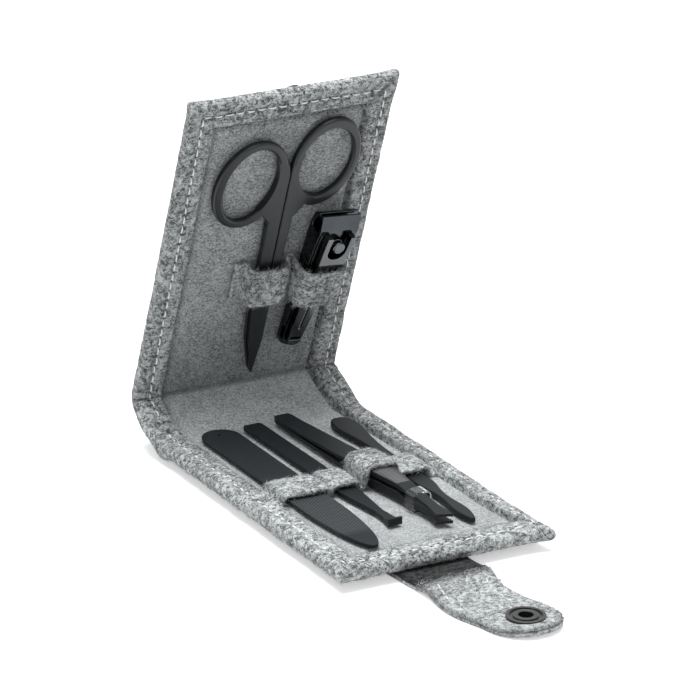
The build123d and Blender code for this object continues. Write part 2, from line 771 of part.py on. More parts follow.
def strap_strip():
    """The strap's leaning strip, with the rounded corners of its free end."""
    lean = math.radians(strap_lean)
    front = (riser_length + tip_length) / math.cos(lean)
    back = 2 * strap_root_length
    strip = Pos(0, (back - front) / 2) * Rectangle(strap_width * math.cos(lean), back + front)
    end_corners = strip.vertices().sort_by(Axis.Y)[:2]
    strip = fillet(end_corners, strap_tip_round)
    return plate(Rot(0, 0, strap_lean) * strip, -strap_layer, strap_layer)


def strap_root(low, high):
    end_gap = strap_layer + strap_fold_clearance
    return strap_part(-strap_root_length - end_gap, -end_gap, False, low, high)


def strap_riser(low, high):
    end_gap = strap_layer + strap_fold_clearance
    return strap_part(0, riser_length - end_gap, True, low, high)


snap_y = -(riser_length + snap_setback)
snap_x = -snap_y * math.tan(math.radians(strap_lean))
snap_place = Pos(snap_x, snap_y, 0)


def strap_tip(low, high):
    layer = strap_part(riser_length, riser_length + 2 * tip_length, True, low, high)
    tube_hole = socket_bore_radius
    layer -= snap_place * Cylinder(tube_hole, 4 * strap_thickness)
    cap_seat = plate(Circle(cap_radius + cap_fit), -strap_layer - 1, cap_thickness - strap_layer)
    return layer - snap_place * cap_seat


def snap_socket():
    """Ring on the strap's inner face that takes the stud."""
    low = strap_layer
    ring = plate(Circle(socket_radius), low, low + socket_height)
    dish_outer = socket_radius - socket_rim
    dish_inner = socket_bore_radius + socket_rim
    dish = plate(Circle(dish_outer) - Circle(dish_inner), low + socket_floor, low + 2 * socket_height)
    ring -= dish
    ring -= plate(Circle(socket_bore_radius), low - 1, low + 2 * socket_height)
    return ring


def snap_cap():
    """Cap let into the strap's outer face, with the tube that the stud enters."""
    low = -strap_layer
    tube_outer = socket_bore_radius - cap_fit
    tube_top = strap_layer + socket_height
    cap = plate(Circle(cap_radius), low, low + cap_thickness)
    cap += plate(Circle(tube_outer), low, tube_top)
    cap -= plate(Circle(tube_outer - cap_tube_wall), low + cap_thickness, tube_top + 1)
    return cap


# The stud lies on the lid where the wrapped strap brings the socket
stud_s = strap_front * wedge_cos + fold_over_crease * wedge_sin - snap_setback
stud_x = strap_x + snap_x
stud_place = Pos(stud_x, stud_s, 0)


def snap_stud():
    """Stud on the lid's outer face, clinched through the felt."""
    flange_low = outer_face - stud_flange_thickness
    stud = plate(Circle(stud_flange_radius), flange_low, outer_face)
    stud += plate(Circle(stud_neck_radius), outer_face - stud_height, outer_face)
    bulb = plate(Circle(stud_radius), outer_face - stud_height, outer_face - stud_height + 1.0)
    stud += fillet(bulb.edges(), 0.3)
    stud += plate(Circle(stud_shank_radius), outer_face, board_low + eyelet_thickness)
    return stud_place * stud


def snap_eyelet():
    """Washer that holds the stud's shank between the felt and the board."""
    ring = Circle(eyelet_radius) - Circle(stud_shank_radius)
    return stud_place * plate(ring, board_low, board_low + eyelet_thickness)


def lid_felt():
    felt = panel_felt(crease_reach, 0)
    return felt - stud_place * plate(Circle(stud_shank_radius), outer_face - 1, board_low)


def lid_board():
    recess = plate(Circle(eyelet_radius), board_low - 1, board_low + eyelet_thickness)
    return panel_board() - stud_place * recess


# ---- Everything in its place

to_front = Rot(0, 0, 180)
save("base_outer_felt", base_place * to_front, panel_felt(crease_roll_radius + crease_clearance, board_high))
save("base_board", base_place * to_front, panel_board())
save("base_lining", base_place * to_front, panel_lining())
save("base_tool_band", base_place, base_band())
save("spine_outer_felt", spine_place, spine_felt())
save("spine_board", spine_place, spine_board())
save("spine_lining", spine_place, spine_lining())
save("lid_outer_felt", lid_place, lid_felt())
save("lid_board", lid_place, lid_board())
save("lid_lining", lid_place, panel_lining())
save("lid_tool_band", lid_place, lid_band())

save("strap_root_outer", strap_place, strap_root(-strap_layer, 0))
save("strap_root_inner", strap_place, strap_root(0, strap_layer))
save("strap_riser_outer", strap_place, strap_riser(-strap_layer, 0))
save("strap_riser_inner", strap_place, strap_riser(0, strap_layer))
save("strap_tip_outer", strap_place, strap_tip(-strap_layer, 0))
save("strap_tip_inner", strap_place, strap_tip(0, strap_layer))
save("snap_socket", strap_place * snap_place, snap_socket())
save("snap_cap", strap_place * snap_place, snap_cap())
save("snap_stud", lid_place, snap_stud())
save("snap_stud_eyelet", lid_place, snap_eyelet())

scissors_place = lid_place * Pos(0, 0, tool_height)
save("scissors_left_half", scissors_place, scissors_left_half())
save("scissors_right_half", scissors_place, scissors_right_half())
save("scissors_pivot_screw", scissors_place, scissors_screw())

clipper_world = lid_place * clipper_place
save("clipper_lower_leaf", clipper_world, clipper_lower_leaf())
save("clipper_upper_leaf", clipper_world, clipper_upper_leaf())
save("clipper_lever", clipper_world, clipper_lever())
save("clipper_post", clipper_world, clipper_post())
save("clipper_rivet", clipper_world, clipper_rivet())

file_place = base_place * base_tool_place(file_x, file_rear, 0, 0)
save("nail_file", file_place, nail_file())
pick_place = base_place * base_tool_place(pick_x, pick_rear, pick_slant, 0)
save("ear_pick", pick_place, ear_pick())
tweezers_place = base_place * base_tool_place(tweezers_x, tweezers_rear, tweezers_slant, tweezers_lift)
save("tweezers_lower_arm", tweezers_place, tweezers_lower_arm())
save("tweezers_upper_arm", tweezers_place, tweezers_upper_arm())
save("tweezers_sleeve", tweezers_place, tweezers_sleeve())
pusher_place = base_place * base_tool_place(pusher_x, pusher_rear, pusher_slant, 0)
save("cuticle_pusher", pusher_place, cuticle_pusher())
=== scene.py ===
"""Looks of the manicure set case: felt, stitching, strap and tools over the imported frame."""

import itertools
import json
import math

import bmesh
import bpy
import numpy as np
from mathutils import Matrix, Vector


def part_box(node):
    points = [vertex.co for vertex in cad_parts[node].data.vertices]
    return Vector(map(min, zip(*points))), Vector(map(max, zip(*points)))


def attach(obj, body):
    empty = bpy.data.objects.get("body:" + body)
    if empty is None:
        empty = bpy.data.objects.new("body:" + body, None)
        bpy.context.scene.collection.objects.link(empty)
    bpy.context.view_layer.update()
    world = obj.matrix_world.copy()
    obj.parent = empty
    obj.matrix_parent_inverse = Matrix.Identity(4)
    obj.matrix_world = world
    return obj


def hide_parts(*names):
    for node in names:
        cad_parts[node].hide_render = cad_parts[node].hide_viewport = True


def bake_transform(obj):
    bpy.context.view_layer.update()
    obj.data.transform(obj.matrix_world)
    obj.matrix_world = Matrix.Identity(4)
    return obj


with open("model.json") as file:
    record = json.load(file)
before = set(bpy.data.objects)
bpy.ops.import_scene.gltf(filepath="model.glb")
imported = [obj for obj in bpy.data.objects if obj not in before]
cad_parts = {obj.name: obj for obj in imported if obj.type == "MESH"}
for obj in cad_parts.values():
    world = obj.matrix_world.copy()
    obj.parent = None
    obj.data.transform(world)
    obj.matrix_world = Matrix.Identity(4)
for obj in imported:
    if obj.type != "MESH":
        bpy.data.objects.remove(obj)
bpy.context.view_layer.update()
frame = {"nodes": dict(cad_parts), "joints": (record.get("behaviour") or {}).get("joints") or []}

MM = 0.001

# ---- Named values, in millimetres unless they say otherwise
#
# Felt and lining are drawn in flat coordinates: x across the case, s along it from the crease
# at the back of the base, and h above the middle of the panels, the inner side being above.

PANEL_FACE = 2.3  # from the middle of a panel to its inner or outer face
LINING_FACE = 1.6
LINING_TUCK = 0.9  # how far the lining reaches under the border
WINDOW_HALF = 24.0  # half the width of the lining that shows
BORDER = 8.5  # felt turned in over the panel's edges
EDGE_ROUND = 2.2
CORNER_ROUND = 1.6
EAR_REACH = 3.6  # how far from a corner its pulled-out tip begins
HIDDEN_FACE = -0.4  # height of the cover's inner face under the lining
TOOL_CLEAR = 2.42  # the border stays under this where tools slide over it
STITCH_INSET = 4.0
STITCH_PITCH = 3.3
STITCH_LENGTH = 2.3
THREAD_RADIUS = 0.23
HOLE_RADIUS = 0.3
GROOVE_DEPTH = 0.34
GROOVE_WIDTH = 0.75
BASE_BEND = 3.5  # how far each crease's curve reaches to either side, along the case
LID_BEND = 2.6
ROLL_DEPTH = 2.65  # felt rolled out under the base's crease, down to the table
ROLL_WIDTH = 3.0
GRID = 0.5
TUBE_SIDES = 6  # of threads and needle holes

BAND_FELT = 1.3
BAND_FOOT_ROUND = 0.75
BAND_TOP_ROUND = 2.3
BAND_SPLAY = 0.45
BAND_HEADROOM = 0.25  # how far the felt bows up over a tool
BAND_STEP = 0.55
ARC_POINTS = 7  # round each bend of a band
BASE_BAND_START, BASE_BAND_END = 46.2, 58.0  # from the base's crease to the front
LID_BAND_START, LID_BAND_END = 33.7, 46.2  # from the lid's crease upwards

STRAP_WIDTH = 22.5
STRAP_LAYER = 1.2
STRAP_LEAN = math.radians(5.5)
STRAP_ROOT = 20.0
STRAP_ROOT_ROUND = 1.0
STRAP_TIP_ROUND = 10.6
STRAP_SWAY = 2.7  # how far the strap swings sideways on its way to the tip
STRAP_NARROWING = 0.07  # share of its width
STRAP_EDGE_ROUND = 0.5
STRAP_CURL = 1.1  # how far the tip stands up
STRAP_SETBACK = 0.6  # the upper layer's tip stands back from the lower one's
STRAP_SEAMS = (((-7.3, 9.5), (-9.2, 23.0)), ((7.8, 12.5), (5.6, 28.5)))  # (x, s) of their ends
FOLD_REACH = 2.5  # how far to either side of each strap fold its two end places lie
SNAP_HOLE = 2.3

HAIR_RADIUS = 0.035
HAIR_TAPER = (1.0, 1.0, 0.9, 0.7, 0.3)  # share of the radius, from root to tip
HAIR_TURNS = (0.0, 2.094, 4.189)  # a hair's three sides, in radians
SNAP_CLEAR = 6.5  # no hairs nearer than this to the snap's middle
STRAP_PAINTED_SHADOW_END = 6  # no hairs on the strap up to this s, where the upper layer's painted shadow is darkest

# ---- Sizes and places read from the frame

joints = {joint["name"]: joint for joint in frame["joints"]}


def joint_place(name):
    return np.array(joints[name]["pos_m"]) / MM


base_crease = joint_place("spine_fold")
lid_crease = joint_place("lid_fold")
strap_fold = joint_place("strap_lower_fold")
strap_second_fold = joint_place("strap_upper_fold")
base_low, base_high = (np.array(corner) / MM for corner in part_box("base_outer_felt"))
snap_centre = np.mean([np.array(corner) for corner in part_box("snap_socket")], axis=0) / MM
half_width = base_high[0]
panel_length = base_crease[1] - base_low[1]
spine_length = float(np.hypot(*(lid_crease - base_crease)[1:]))
spine_angle = math.radians(joints["spine_fold"]["range_deg"][1])
lid_angle = math.radians(joints["lid_fold"]["range_deg"][1])
base_front = -panel_length
spine_middle = spine_length / 2
half_length = panel_length + spine_middle
lid_top = spine_length + panel_length
strap_middle = (strap_fold[1] - strap_second_fold[1]) / 2 / math.cos(STRAP_LEAN)
strap_length = (strap_fold[1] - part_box("strap_tip_outer")[0][1] / MM) / math.cos(STRAP_LEAN)


# ---- From flat coordinates to the standing case

def smooth(value, low, high):
    """0 up to low, 1 from high on, and an even change between them."""
    part = np.clip((value - low) / (high - low), 0, 1)
    return part * part * (3 - 2 * part)


def bell(distance, width):
    """1 at no distance, and falling to nothing over about two widths."""
    return np.exp(-((distance / width) ** 2))


def spots(x, s, h=0.0):
    """Points from their three coordinates."""
    return np.column_stack([x, s, 0 * x + h])


def unit(vectors):
    return vectors / np.linalg.norm(vectors, axis=-1, keepdims=True)


def rotated(x, y, angle):
    c, n = math.cos(angle), math.sin(angle)
    return np.array([c * x - n * y, n * x + c * y])


def centre_line(s):
    """Place (y, z) and angle of the panels' middle at s: straight runs joined by two arcs."""
    base_radius = BASE_BEND / math.tan(spine_angle / 2)
    lid_radius = LID_BEND / math.tan(lid_angle / 2)
    y1, z1 = base_crease[1:]
    y2, z2 = lid_crease[1:]
    run, rise = math.cos(spine_angle), math.sin(spine_angle)
    first = np.clip((s + BASE_BEND) / (2 * BASE_BEND), 0, 1) * spine_angle
    second = np.clip((s - spine_length + LID_BEND) / (2 * LID_BEND), 0, 1) * lid_angle
    angle = first + second
    y = np.where(s < -BASE_BEND, y1 + s, y1 - BASE_BEND + base_radius * np.sin(first))
    z = np.where(s < -BASE_BEND, z1, z1 + base_radius * (1 - np.cos(first)))
    start = spine_length - LID_BEND
    on_spine = (s > BASE_BEND) & (s <= start)
    y = np.where(on_spine, y1 + s * run, y)
    z = np.where(on_spine, z1 + s * rise, z)
    y = np.where(s > start, y1 + start * run + lid_radius * (np.sin(angle) - rise), y)
    z = np.where(s > start, z1 + start * rise + lid_radius * (run - np.cos(angle)), z)
    full = spine_angle + lid_angle
    on_lid = s > spine_length + LID_BEND
    y = np.where(on_lid, y2 + (s - spine_length) * math.cos(full), y)
    z = np.where(on_lid, z2 + (s - spine_length) * math.sin(full), z)
    return y, z, angle


def case_place(flat):
    """World places, in metres, of flat points (x, s, h) on the case."""
    x, s, h = flat.T
    y, z, angle = centre_line(s)
    return spots(x, y - h * np.sin(angle), z + h * np.cos(angle)) * MM


def strap_place(flat):
    """World places, in metres, of strap points (x across, s from the fold, h above the table)."""
    x, s, h = flat.T
    lift = STRAP_CURL * np.clip((s - strap_length + 12) / 12, 0, 1) ** 2
    lift = lift + 0.9 * bell(s - 9, 4.5) * smooth(s, 2, 6)
    x = x * (1 - STRAP_NARROWING * smooth(s, 4, 15)) - STRAP_SWAY * bell(s - 22, 11)
    x, y = rotated(x, -s, STRAP_LEAN)
    return spots(x + strap_fold[0], y + strap_fold[1], h + lift) * MM


def binder(ends):
    """Function that bakes a piece's place into its mesh points; the two places it is given are not used.
    """
    return lambda piece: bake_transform(piece)


def crease_ends(middle, reach):
    return [case_place(np.array([[0, s, 0.0]]))[0] for s in (middle - reach, middle + reach)]


def fold_ends(place):
    return [Vector(place) * MM + Vector((0, y * MM, 0)) for y in (FOLD_REACH, -FOLD_REACH)]


bend_base = binder(crease_ends(0, BASE_BEND))
bend_lid = binder(crease_ends(spine_length, LID_BEND))
bend_root = binder(fold_ends(strap_fold))
bend_tip = binder(fold_ends(strap_second_fold))


# ---- Random but repeatable shapes

def lumps(points, size, seed):
    """Smooth heights between -1 and 1 with bumps of about the given size."""
    cell = points / size + 1000.0
    low = np.floor(cell).astype(np.int64)
    part = cell - low
    part = part * part * (3 - 2 * part)
    total = np.zeros(len(points))
    for corner in itertools.product((0, 1), repeat=3):
        key = (low + corner) @ np.array([73856093, 19349663, 83492791]) + seed * 26543579
        key = (key ^ (key >> 13)) * 1274126177
        value = ((key ^ (key >> 16)) & 0xFFFF) / 32767.5 - 1
        total += value * np.where(corner, part, 1 - part).prod(axis=1)
    return total


def felt_lumps(points, seed):
    """Uneven felt: broad swells, tufts of a few millimetres and small knots."""
    swell = 0.18 * lumps(points, 9.0, seed) + 0.15 * lumps(points, 3.6, seed + 1)
    return swell + 0.07 * lumps(points, 1.7, seed + 2) + 0.03 * lumps(points, 0.9, seed + 3)


# ---- Meshes

def smooth_faces(mesh):
    mesh.polygons.foreach_set("use_smooth", [True] * len(mesh.polygons))


def add_object(name, data):
    made = bpy.data.objects.new(name, data)
    bpy.context.scene.collection.objects.link(made)
    return made


def mesh_piece(name, mesh, material):
    mesh.materials.append(material)
    smooth_faces(mesh)
    return add_object(name, mesh)


def mesh_object(name, places, flat, faces, material, weld=True):
    """Mesh whose points keep their flat place, in millimetres, as the attribute "flat"."""
    mesh = bpy.data.meshes.new(name)
    mesh.from_pydata(places.tolist(), [], faces)
    store = mesh.attributes.new("flat", "FLOAT_VECTOR", "POINT")
    store.data.foreach_set("vector", flat.astype(np.float32).ravel())
    if weld:
        work = bmesh.new()
        work.from_mesh(mesh)
        bmesh.ops.remove_doubles(work, verts=work.verts, dist=2e-7)
        bmesh.ops.recalc_face_normals(work, faces=work.faces)
        work.to_mesh(mesh)
        work.free()
    return mesh_piece(name, mesh, material)


def grid_faces(rows, columns, start=0):
    """Quads of a grid of points that is numbered row by row."""
    corner = start + np.arange((rows - 1) * columns).reshape(rows - 1, columns)[:, :-1].ravel()
    return np.column_stack([corner, corner + 1, corner + columns + 1, corner + columns]).tolist()


def edge_steps(round_size, step_places=()):
    """Distances from an edge: close together round it and at each step of the surface."""
    rounding = round_size * (1 - np.cos(np.linspace(0, math.pi / 2, 9)))
    last = max([round_size + 1.0] + [place + 0.8 for place in step_places])
    places = np.concatenate([rounding, np.arange(round_size + 0.4, last, 0.4)])
    for place in step_places:
        near = np.abs(places - place) < 0.9
        places = np.concatenate([places[~near], np.arange(place - 0.9, place + 0.9, 0.18)])
    return np.unique(places.round(4))


def slab_grid(half, length, steps, corner_round, ears=(0.0, 0.0)):
    """Grid over a strip with one free end: x, distance from the free end and from the nearest edge.

    ears says how far the left and the right corner are pulled out.
    """
    count = max(2, int((2 * half - 2 * steps[-1]) / GRID))
    middle = np.linspace(steps[-1] - half, half - steps[-1], count)[1:-1]
    x = np.concatenate([steps - half, middle, (half - steps)[::-1]])
    count = max(2, int((length - steps[-1]) / GRID))
    t = np.concatenate([steps, np.linspace(steps[-1], length, count)[1:]])
    t, x = (values.ravel() for values in np.meshgrid(t, x, indexing="ij"))
    side = half - np.abs(x)
    edge = np.minimum(side, t)
    near = np.column_stack([corner_round - side, corner_round - t]).clip(0) / corner_round
    reach = np.hypot(near[:, 0], near[:, 1])
    both = (near > 0).all(axis=1)
    pull = np.where(both, near.max(axis=1) / np.maximum(reach, 1e-9), 1)
    new_side = np.where(both, corner_round * (1 - near[:, 0] * pull), side)
    new_t = np.where(both, corner_round * (1 - near[:, 1] * pull), t)
    ear = np.exp(-(new_side + new_t) / EAR_REACH) * np.where(x > 0, ears[1], ears[0])
    return np.sign(x) * (half - new_side + ear), new_t - ear, edge, len(np.unique(x))


def slab(name, grid, along, above, below, place, material, shift=None):
    """Closed slab over a grid. along turns the distance from the free end into s."""
    x, t, edge, columns = grid
    rows = len(x) // columns
    s = along(t)
    moved = shift(x, s) if shift else x
    flat = np.concatenate([spots(moved, s, face(x, s, edge)) for face in (above, below)])
    faces = grid_faces(rows, columns) + grid_faces(rows, columns, len(x))
    faces += [(k, k + 1, k + 1 + len(x), k + len(x)) for k in range(len(x) - columns, len(x) - 1)]
    return mesh_object(name, place(flat), flat, faces, material)


def cut_hole(piece, centre, radius):
    """Cuts a round hole straight down through a slab, about a place in world millimetres."""
    middle = Vector(centre[:2]) * MM
    work = bmesh.new()
    work.from_mesh(piece.data)
    near = [face for face in work.faces if (face.calc_center_median().xy - middle).length < radius * MM]
    bmesh.ops.delete(work, geom=near, context="FACES")
    rim = [edge for edge in work.edges
           if edge.is_boundary and (edge.verts[0].co.xy - middle).length < 2 * radius * MM]
    for vert in {vert for edge in rim for vert in edge.verts}:
        vert.co.xy = middle + (vert.co.xy - middle).normalized() * radius * MM
    bmesh.ops.bridge_loops(work, edges=rim)
    work.to_mesh(piece.data)
    work.free()
    smooth_faces(piece.data)


def tube_points(path, radius):
    """Rings of points round a path, pinched at both ends."""
    ahead = unit(np.gradient(path, axis=0))
    side = unit(np.cross(ahead, [0.13, 0.21, 0.97]))
    other = np.cross(ahead, side)
    turn = np.linspace(0, 2 * math.pi, TUBE_SIDES, endpoint=False)
    width = radius * np.ones(len(path))
    width[[0, -1]] *= 0.35
    rings = np.cos(turn)[None, :, None] * side[:, None] + np.sin(turn)[None, :, None] * other[:, None]
    return (path[:, None] + rings * width[:, None, None]).reshape(-1, 3)


def tube_faces(rings, sides, start):
    faces = []
    for ring, k in itertools.product(range(rings - 1), range(sides)):
        a = start + ring * sides
        nxt = (k + 1) % sides
        faces.append((a + k, a + nxt, a + sides + nxt, a + sides + k))
    return faces


def tubes(name, paths, radius, place, material):
    """One mesh of many thin tubes, whose paths are in flat coordinates."""
    flat, faces, start = [], [], 0
    for path in paths:
        points = tube_points(path, radius)
        faces += tube_faces(len(path), TUBE_SIDES, start)
        start += len(points)
        flat.append(points)
    flat = np.concatenate(flat)
    return mesh_object(name, place(flat), flat, faces, material, weld=False)


# ---- Materials. Noise on felt, lining and thread is sized per millimetre, on steel per metre.

BLACK_STEEL = (0.008, 0.0105, 0.0125)


def shaded(colour, factor, limit=1.0):
    return tuple(min(limit, c * factor) for c in colour)


class Nodes:
    """Short ways to add nodes to a tree. An input is a plain value or another node's output."""

    def __init__(self, tree):
        self.tree = tree

    def connect(self, value, socket):
        if isinstance(value, bpy.types.NodeSocket):
            self.tree.links.new(value, socket)
        else:
            socket.default_value = value

    def node(self, kind, inputs=None, **settings):
        made = self.tree.nodes.new("ShaderNode" + kind)
        for setting, value in settings.items():
            setattr(made, setting, value)
        for socket, value in (inputs or {}).items():
            self.connect(value, made.inputs[socket])
        return made

    def output(self, name, kind, inputs=None, **settings):
        return self.node(kind, inputs, **settings).outputs[name]

    def math(self, operation, first, second):
        return self.output(0, "Math", {0: first, 1: second}, operation=operation)

    def scaled(self, value, first, last, low=0.0, high=1.0, **settings):
        """Number between first and last, as the value is between low and high."""
        inputs = {"Value": value, "From Min": low, "From Max": high, "To Min": first, "To Max": last}
        return self.output("Result", "MapRange", inputs, **settings)

    def seen(self):
        """1 for rays from the camera, straight, mirrored or through the clear sleeve, else 0."""
        rays = self.node("LightPath").outputs
        seen = self.math("MAXIMUM", rays["Is Camera Ray"], rays["Is Glossy Ray"])
        return self.math("MAXIMUM", seen, rays["Is Transmission Ray"])


class Shader(Nodes):
    """A node material round one Principled BSDF."""

    def __init__(self, name, **constants):
        self.material = bpy.data.materials.new(name)
        self.material.use_nodes = True
        super().__init__(self.material.node_tree)
        self.surface = self.tree.nodes["Principled BSDF"].inputs
        for socket, value in constants.items():
            self.surface[socket.replace("_", " ")].default_value = value

    def finish(self, **outputs):
        for socket, output in outputs.items():
            self.tree.links.new(output, self.surface[socket.replace("_", " ")])
        return self.material

    def flat_place(self):
        """Where a point is in flat coordinates, and its s alone."""
        place = self.output("Vector", "Attribute", attribute_name="flat")
        return place, self.output("Y", "SeparateXYZ", {"Vector": place})

    def ramp(self, factor, *stops):
        """Colour ramp through (position, colour) stops; a colour may be one grey level."""
        made = self.node("ValToRGB", {"Fac": factor})
        elements = made.color_ramp.elements
        while len(elements) < len(stops):
            elements.new(0.5)
        for element, (position, colour) in zip(elements, stops):
            element.position = position
            element.color = colour + (1,) if isinstance(colour, tuple) else (colour,) * 3 + (1,)
        return made.outputs["Color"]

    def noise(self, vector, scale, detail=2.0, roughness=0.5, distortion=0.0, name="Fac"):
        inputs = {"Vector": vector, "Scale": scale, "Detail": detail, "Roughness": roughness}
        return self.output(name, "TexNoise", inputs | {"Distortion": distortion})

    def wave(self, vector, scale, distortion, direction):
        inputs = {"Vector": vector, "Scale": scale, "Distortion": distortion}
        return self.output("Fac", "TexWave", inputs, bands_direction=direction)

    def turned(self, vector, rotation, scale=(1.0, 1.0, 1.0)):
        inputs = {"Vector": vector, "Rotation": rotation, "Scale": scale}
        return self.output("Vector", "Mapping", inputs)

    def weigh(self, *parts):
        """Sum of values times weights."""
        total, *rest = [self.math("MULTIPLY", value, weight) for value, weight in parts]
        for part in rest:
            total = self.math("ADD", total, part)
        return total

    def mix(self, factor, first, second, blend="MIX"):
        inputs = {0: factor, 6: first, 7: second}
        return self.output(2, "Mix", inputs, data_type="RGBA", blend_type=blend)

    def fade(self, along, colour, first, last):
        """Colour times a level that changes smoothly between two (s, level) points."""
        part = self.scaled(along, 0.0, 1.0, first[0], last[0], interpolation_type="SMOOTHSTEP")
        return self.mix(1.0, colour, self.scaled(part, first[1], last[1]), "MULTIPLY")

    def rounded(self, radius):
        """Normal that makes edges look rounded."""
        return self.output("Normal", "Bevel", {"Radius": radius}, samples=6)

    def bump(self, height, strength, distance, normal=None):
        inputs = {"Height": height, "Strength": strength, "Distance": distance}
        if normal is not None:
            inputs["Normal"] = normal
        return self.output("Normal", "Bump", inputs)


def streaks(shader, place, turn):
    """Mask of short hairs that lie along one direction."""
    mapped = shader.turned(place, turn, (2.4 / 9.0, 2.4, 2.4))
    return shader.ramp(shader.noise(mapped, 1.0, 1.0, 0.4, 0.6), (0.58, 0.0), (0.72, 0.6))


def wool_felt(name, tint, contrast, pile=0.75, shine=0.06, sheen=0.13, painted_shades=None):
    """Heather-grey felt: a mottled ground of light and dark wool with loose hairs on it.

    The shades given are two (s, level) points between which the colour is scaled, to paint shade onto the
    felt.
    """
    shader = Shader(name, Roughness=0.95, Specular_IOR_Level=shine, Sheen_Weight=sheen,
                    Sheen_Roughness=0.6)
    place, along = shader.flat_place()
    warp = shader.noise(place, 0.45, name="Color")
    warp = shader.output("Vector", "VectorMath", {0: warp, 1: (2.2, 2.2, 2.2)}, operation="MULTIPLY")
    warped = shader.output("Vector", "VectorMath", {0: place, 1: warp}, operation="ADD")
    patches = shader.noise(warped, 0.22, 2.0, 0.6, 0.8)
    wool = shader.noise(warped, 0.8, 2.0, 0.5, 0.5)
    fine = shader.noise(place, 2.3, 3.0, 0.7, 0.6)
    blend = shader.weigh((patches, 0.18), (wool, 0.4), (fine, 0.42))
    dark = shaded(tint, 1 - contrast)
    light = shaded(tint, 1 + contrast * 1.3, 0.88)
    colour = shader.ramp(blend, (0.40, shaded(dark, 0.6)), (0.455, dark), (0.51, tint), (0.585, light))
    light_wool = shaded(tint, 1.7, 0.88)
    for wisp, turn in ((light_wool, (0, 0, 0.4)), (dark, (0.3, 0.2, 1.5)), (light_wool, (0.1, 0.5, 2.5))):
        colour = shader.mix(streaks(shader, warped, turn), colour, wisp + (1,))
    if painted_shades:
        colour = shader.fade(along, colour, *painted_shades)
    height = shader.weigh((wool, 0.55), (fine, 0.45))
    return shader.finish(Base_Color=colour, Normal=shader.bump(height, pile, 0.0006))


def velour(name, tint, lid_painted_shade_tint):
    """Short-piled velour, finer than the felt, with painted shade: a much darker tint from the lid's
    crease on, darker still just above that crease, and painted light towards the base's crease.
    """
    shader = Shader(name, Roughness=0.9, Specular_IOR_Level=0.12, Sheen_Weight=0.2,
                    Sheen_Roughness=0.45)
    place, along = shader.flat_place()
    nap = shader.noise(shader.turned(place, (0, 0, 0.12), (1.2, 2.9, 2.9)), 1.0, 2.0, 0.6, 1.0)
    speckle = shader.noise(place, 2.2, 2.0, 0.7, 0.8)
    cloud = shader.noise(place, 0.13, 3.0, 0.55, 0.6)
    blend = shader.weigh((speckle, 0.48), (nap, 0.4), (cloud, 0.12))
    painted_shades = []
    # Painted light and shade: the base's lining grows lighter towards its crease, and the lid's lining is
    # darker near its crease.
    for middle, spread, first, last in (
            (tint, 0.45, (base_front, 0.93), (0, 1.22)),
            (lid_painted_shade_tint, 0.66, (spine_length, 0.8), (spine_length + 40, 1.1))):
        shade = shader.ramp(blend, (0.42, shaded(middle, 1 - spread)), (0.5, middle),
                            (0.575, shaded(middle, 1 + spread)))
        painted_shades.append(shader.fade(along, shade, first, last))
    on_lid = shader.scaled(along, 0.0, 1.0, spine_length - 1.2, spine_length + 0.6)
    return shader.finish(Base_Color=shader.mix(on_lid, *painted_shades), Normal=shader.bump(blend, 0.9, 0.0012))


def sewing_thread():
    """Twisted off-white sewing thread."""
    shader = Shader("thread", Roughness=0.6, Sheen_Weight=0.2)
    twist = shader.wave(shader.flat_place()[0], 1.6, 0.4, "DIAGONAL")
    return shader.finish(
        Base_Color=shader.ramp(twist, (0.0, (0.66, 0.665, 0.66)), (0.6, (0.86, 0.86, 0.85))),
        Normal=shader.bump(twist, 0.4, 0.00005))


def hair(name, colour):
    shader = Shader(name, Roughness=0.7, Specular_IOR_Level=0.3)
    shade = shader.noise(shader.flat_place()[0], 0.9, 1.0)
    return shader.finish(Base_Color=shader.ramp(shade, (0.38, shaded(colour, 0.45)), (0.62, colour)))


def steel(name, colour, roughness, highlight_level, grain, **constants):
    """Black-coated steel: slightly uneven sheen and softly rounded edges, whose colour is painted lighter
    as a painted highlight.
    """
    shader = Shader(name, **constants)
    place = shader.output("Object", "TexCoord")
    cloud = shader.noise(place, 90.0, 3.0, 0.6)
    speck = shader.noise(place, 2600.0)
    shade = shader.ramp(cloud, (0.3, shaded(colour, 0.7)), (0.7, colour))
    rounded = shader.rounded(0.00022)
    plain = shader.output("Normal", "NewGeometry")
    match = shader.output("Value", "VectorMath", {0: rounded, 1: plain}, operation="DOT_PRODUCT")
    # Painted highlight: at the edges, where the rounded normal turns from the plain one, the colour is
    # painted lighter.
    highlight_mask = shader.ramp(match, (0.80, highlight_level), (0.985, 0.0))
    highlight_colour = tuple(min(1.0, c * 4.0 + 0.05) for c in colour) + (1,)
    return shader.finish(Base_Color=shader.mix(highlight_mask, shade, highlight_colour),
                         Roughness=shader.scaled(cloud, roughness - 0.05, roughness + 0.06),
                         Normal=shader.bump(speck, grain, 0.00002, rounded))


def file_steel():
    """Black file steel, cut by two crossing sets of fine teeth that leave the tip smooth."""
    shader = Shader("file_steel", Specular_IOR_Level=0.2)
    coordinates = shader.node("TexCoord").outputs
    lines = []
    for turn in (0.9, -0.9):
        mapped = shader.turned(coordinates["Object"], (0, 0, turn))
        lines.append(shader.ramp(shader.wave(mapped, 370.0, 0.0, "X"), (0.72, 0.0), (0.95, 1.0)))
    cuts = shader.mix(1.0, *lines, "LIGHTEN")
    along = shader.output("Y", "SeparateXYZ", {"Vector": coordinates["Generated"]})
    covered = shader.ramp(along, (0.09, 0.0), (0.13, 1.0), (0.5, 1.0), (0.6, 0.25))
    cuts = shader.mix(covered, (0, 0, 0, 1), cuts)
    speck = shader.noise(coordinates["Object"], 1800.0)
    return shader.finish(
        Base_Color=shader.mix(cuts, BLACK_STEEL + (1,), (0.055, 0.06, 0.064, 1)),
        Roughness=shader.scaled(speck, 0.52, 0.62),
        Normal=shader.bump(cuts, 0.8, 0.00008, shader.rounded(0.0002)))


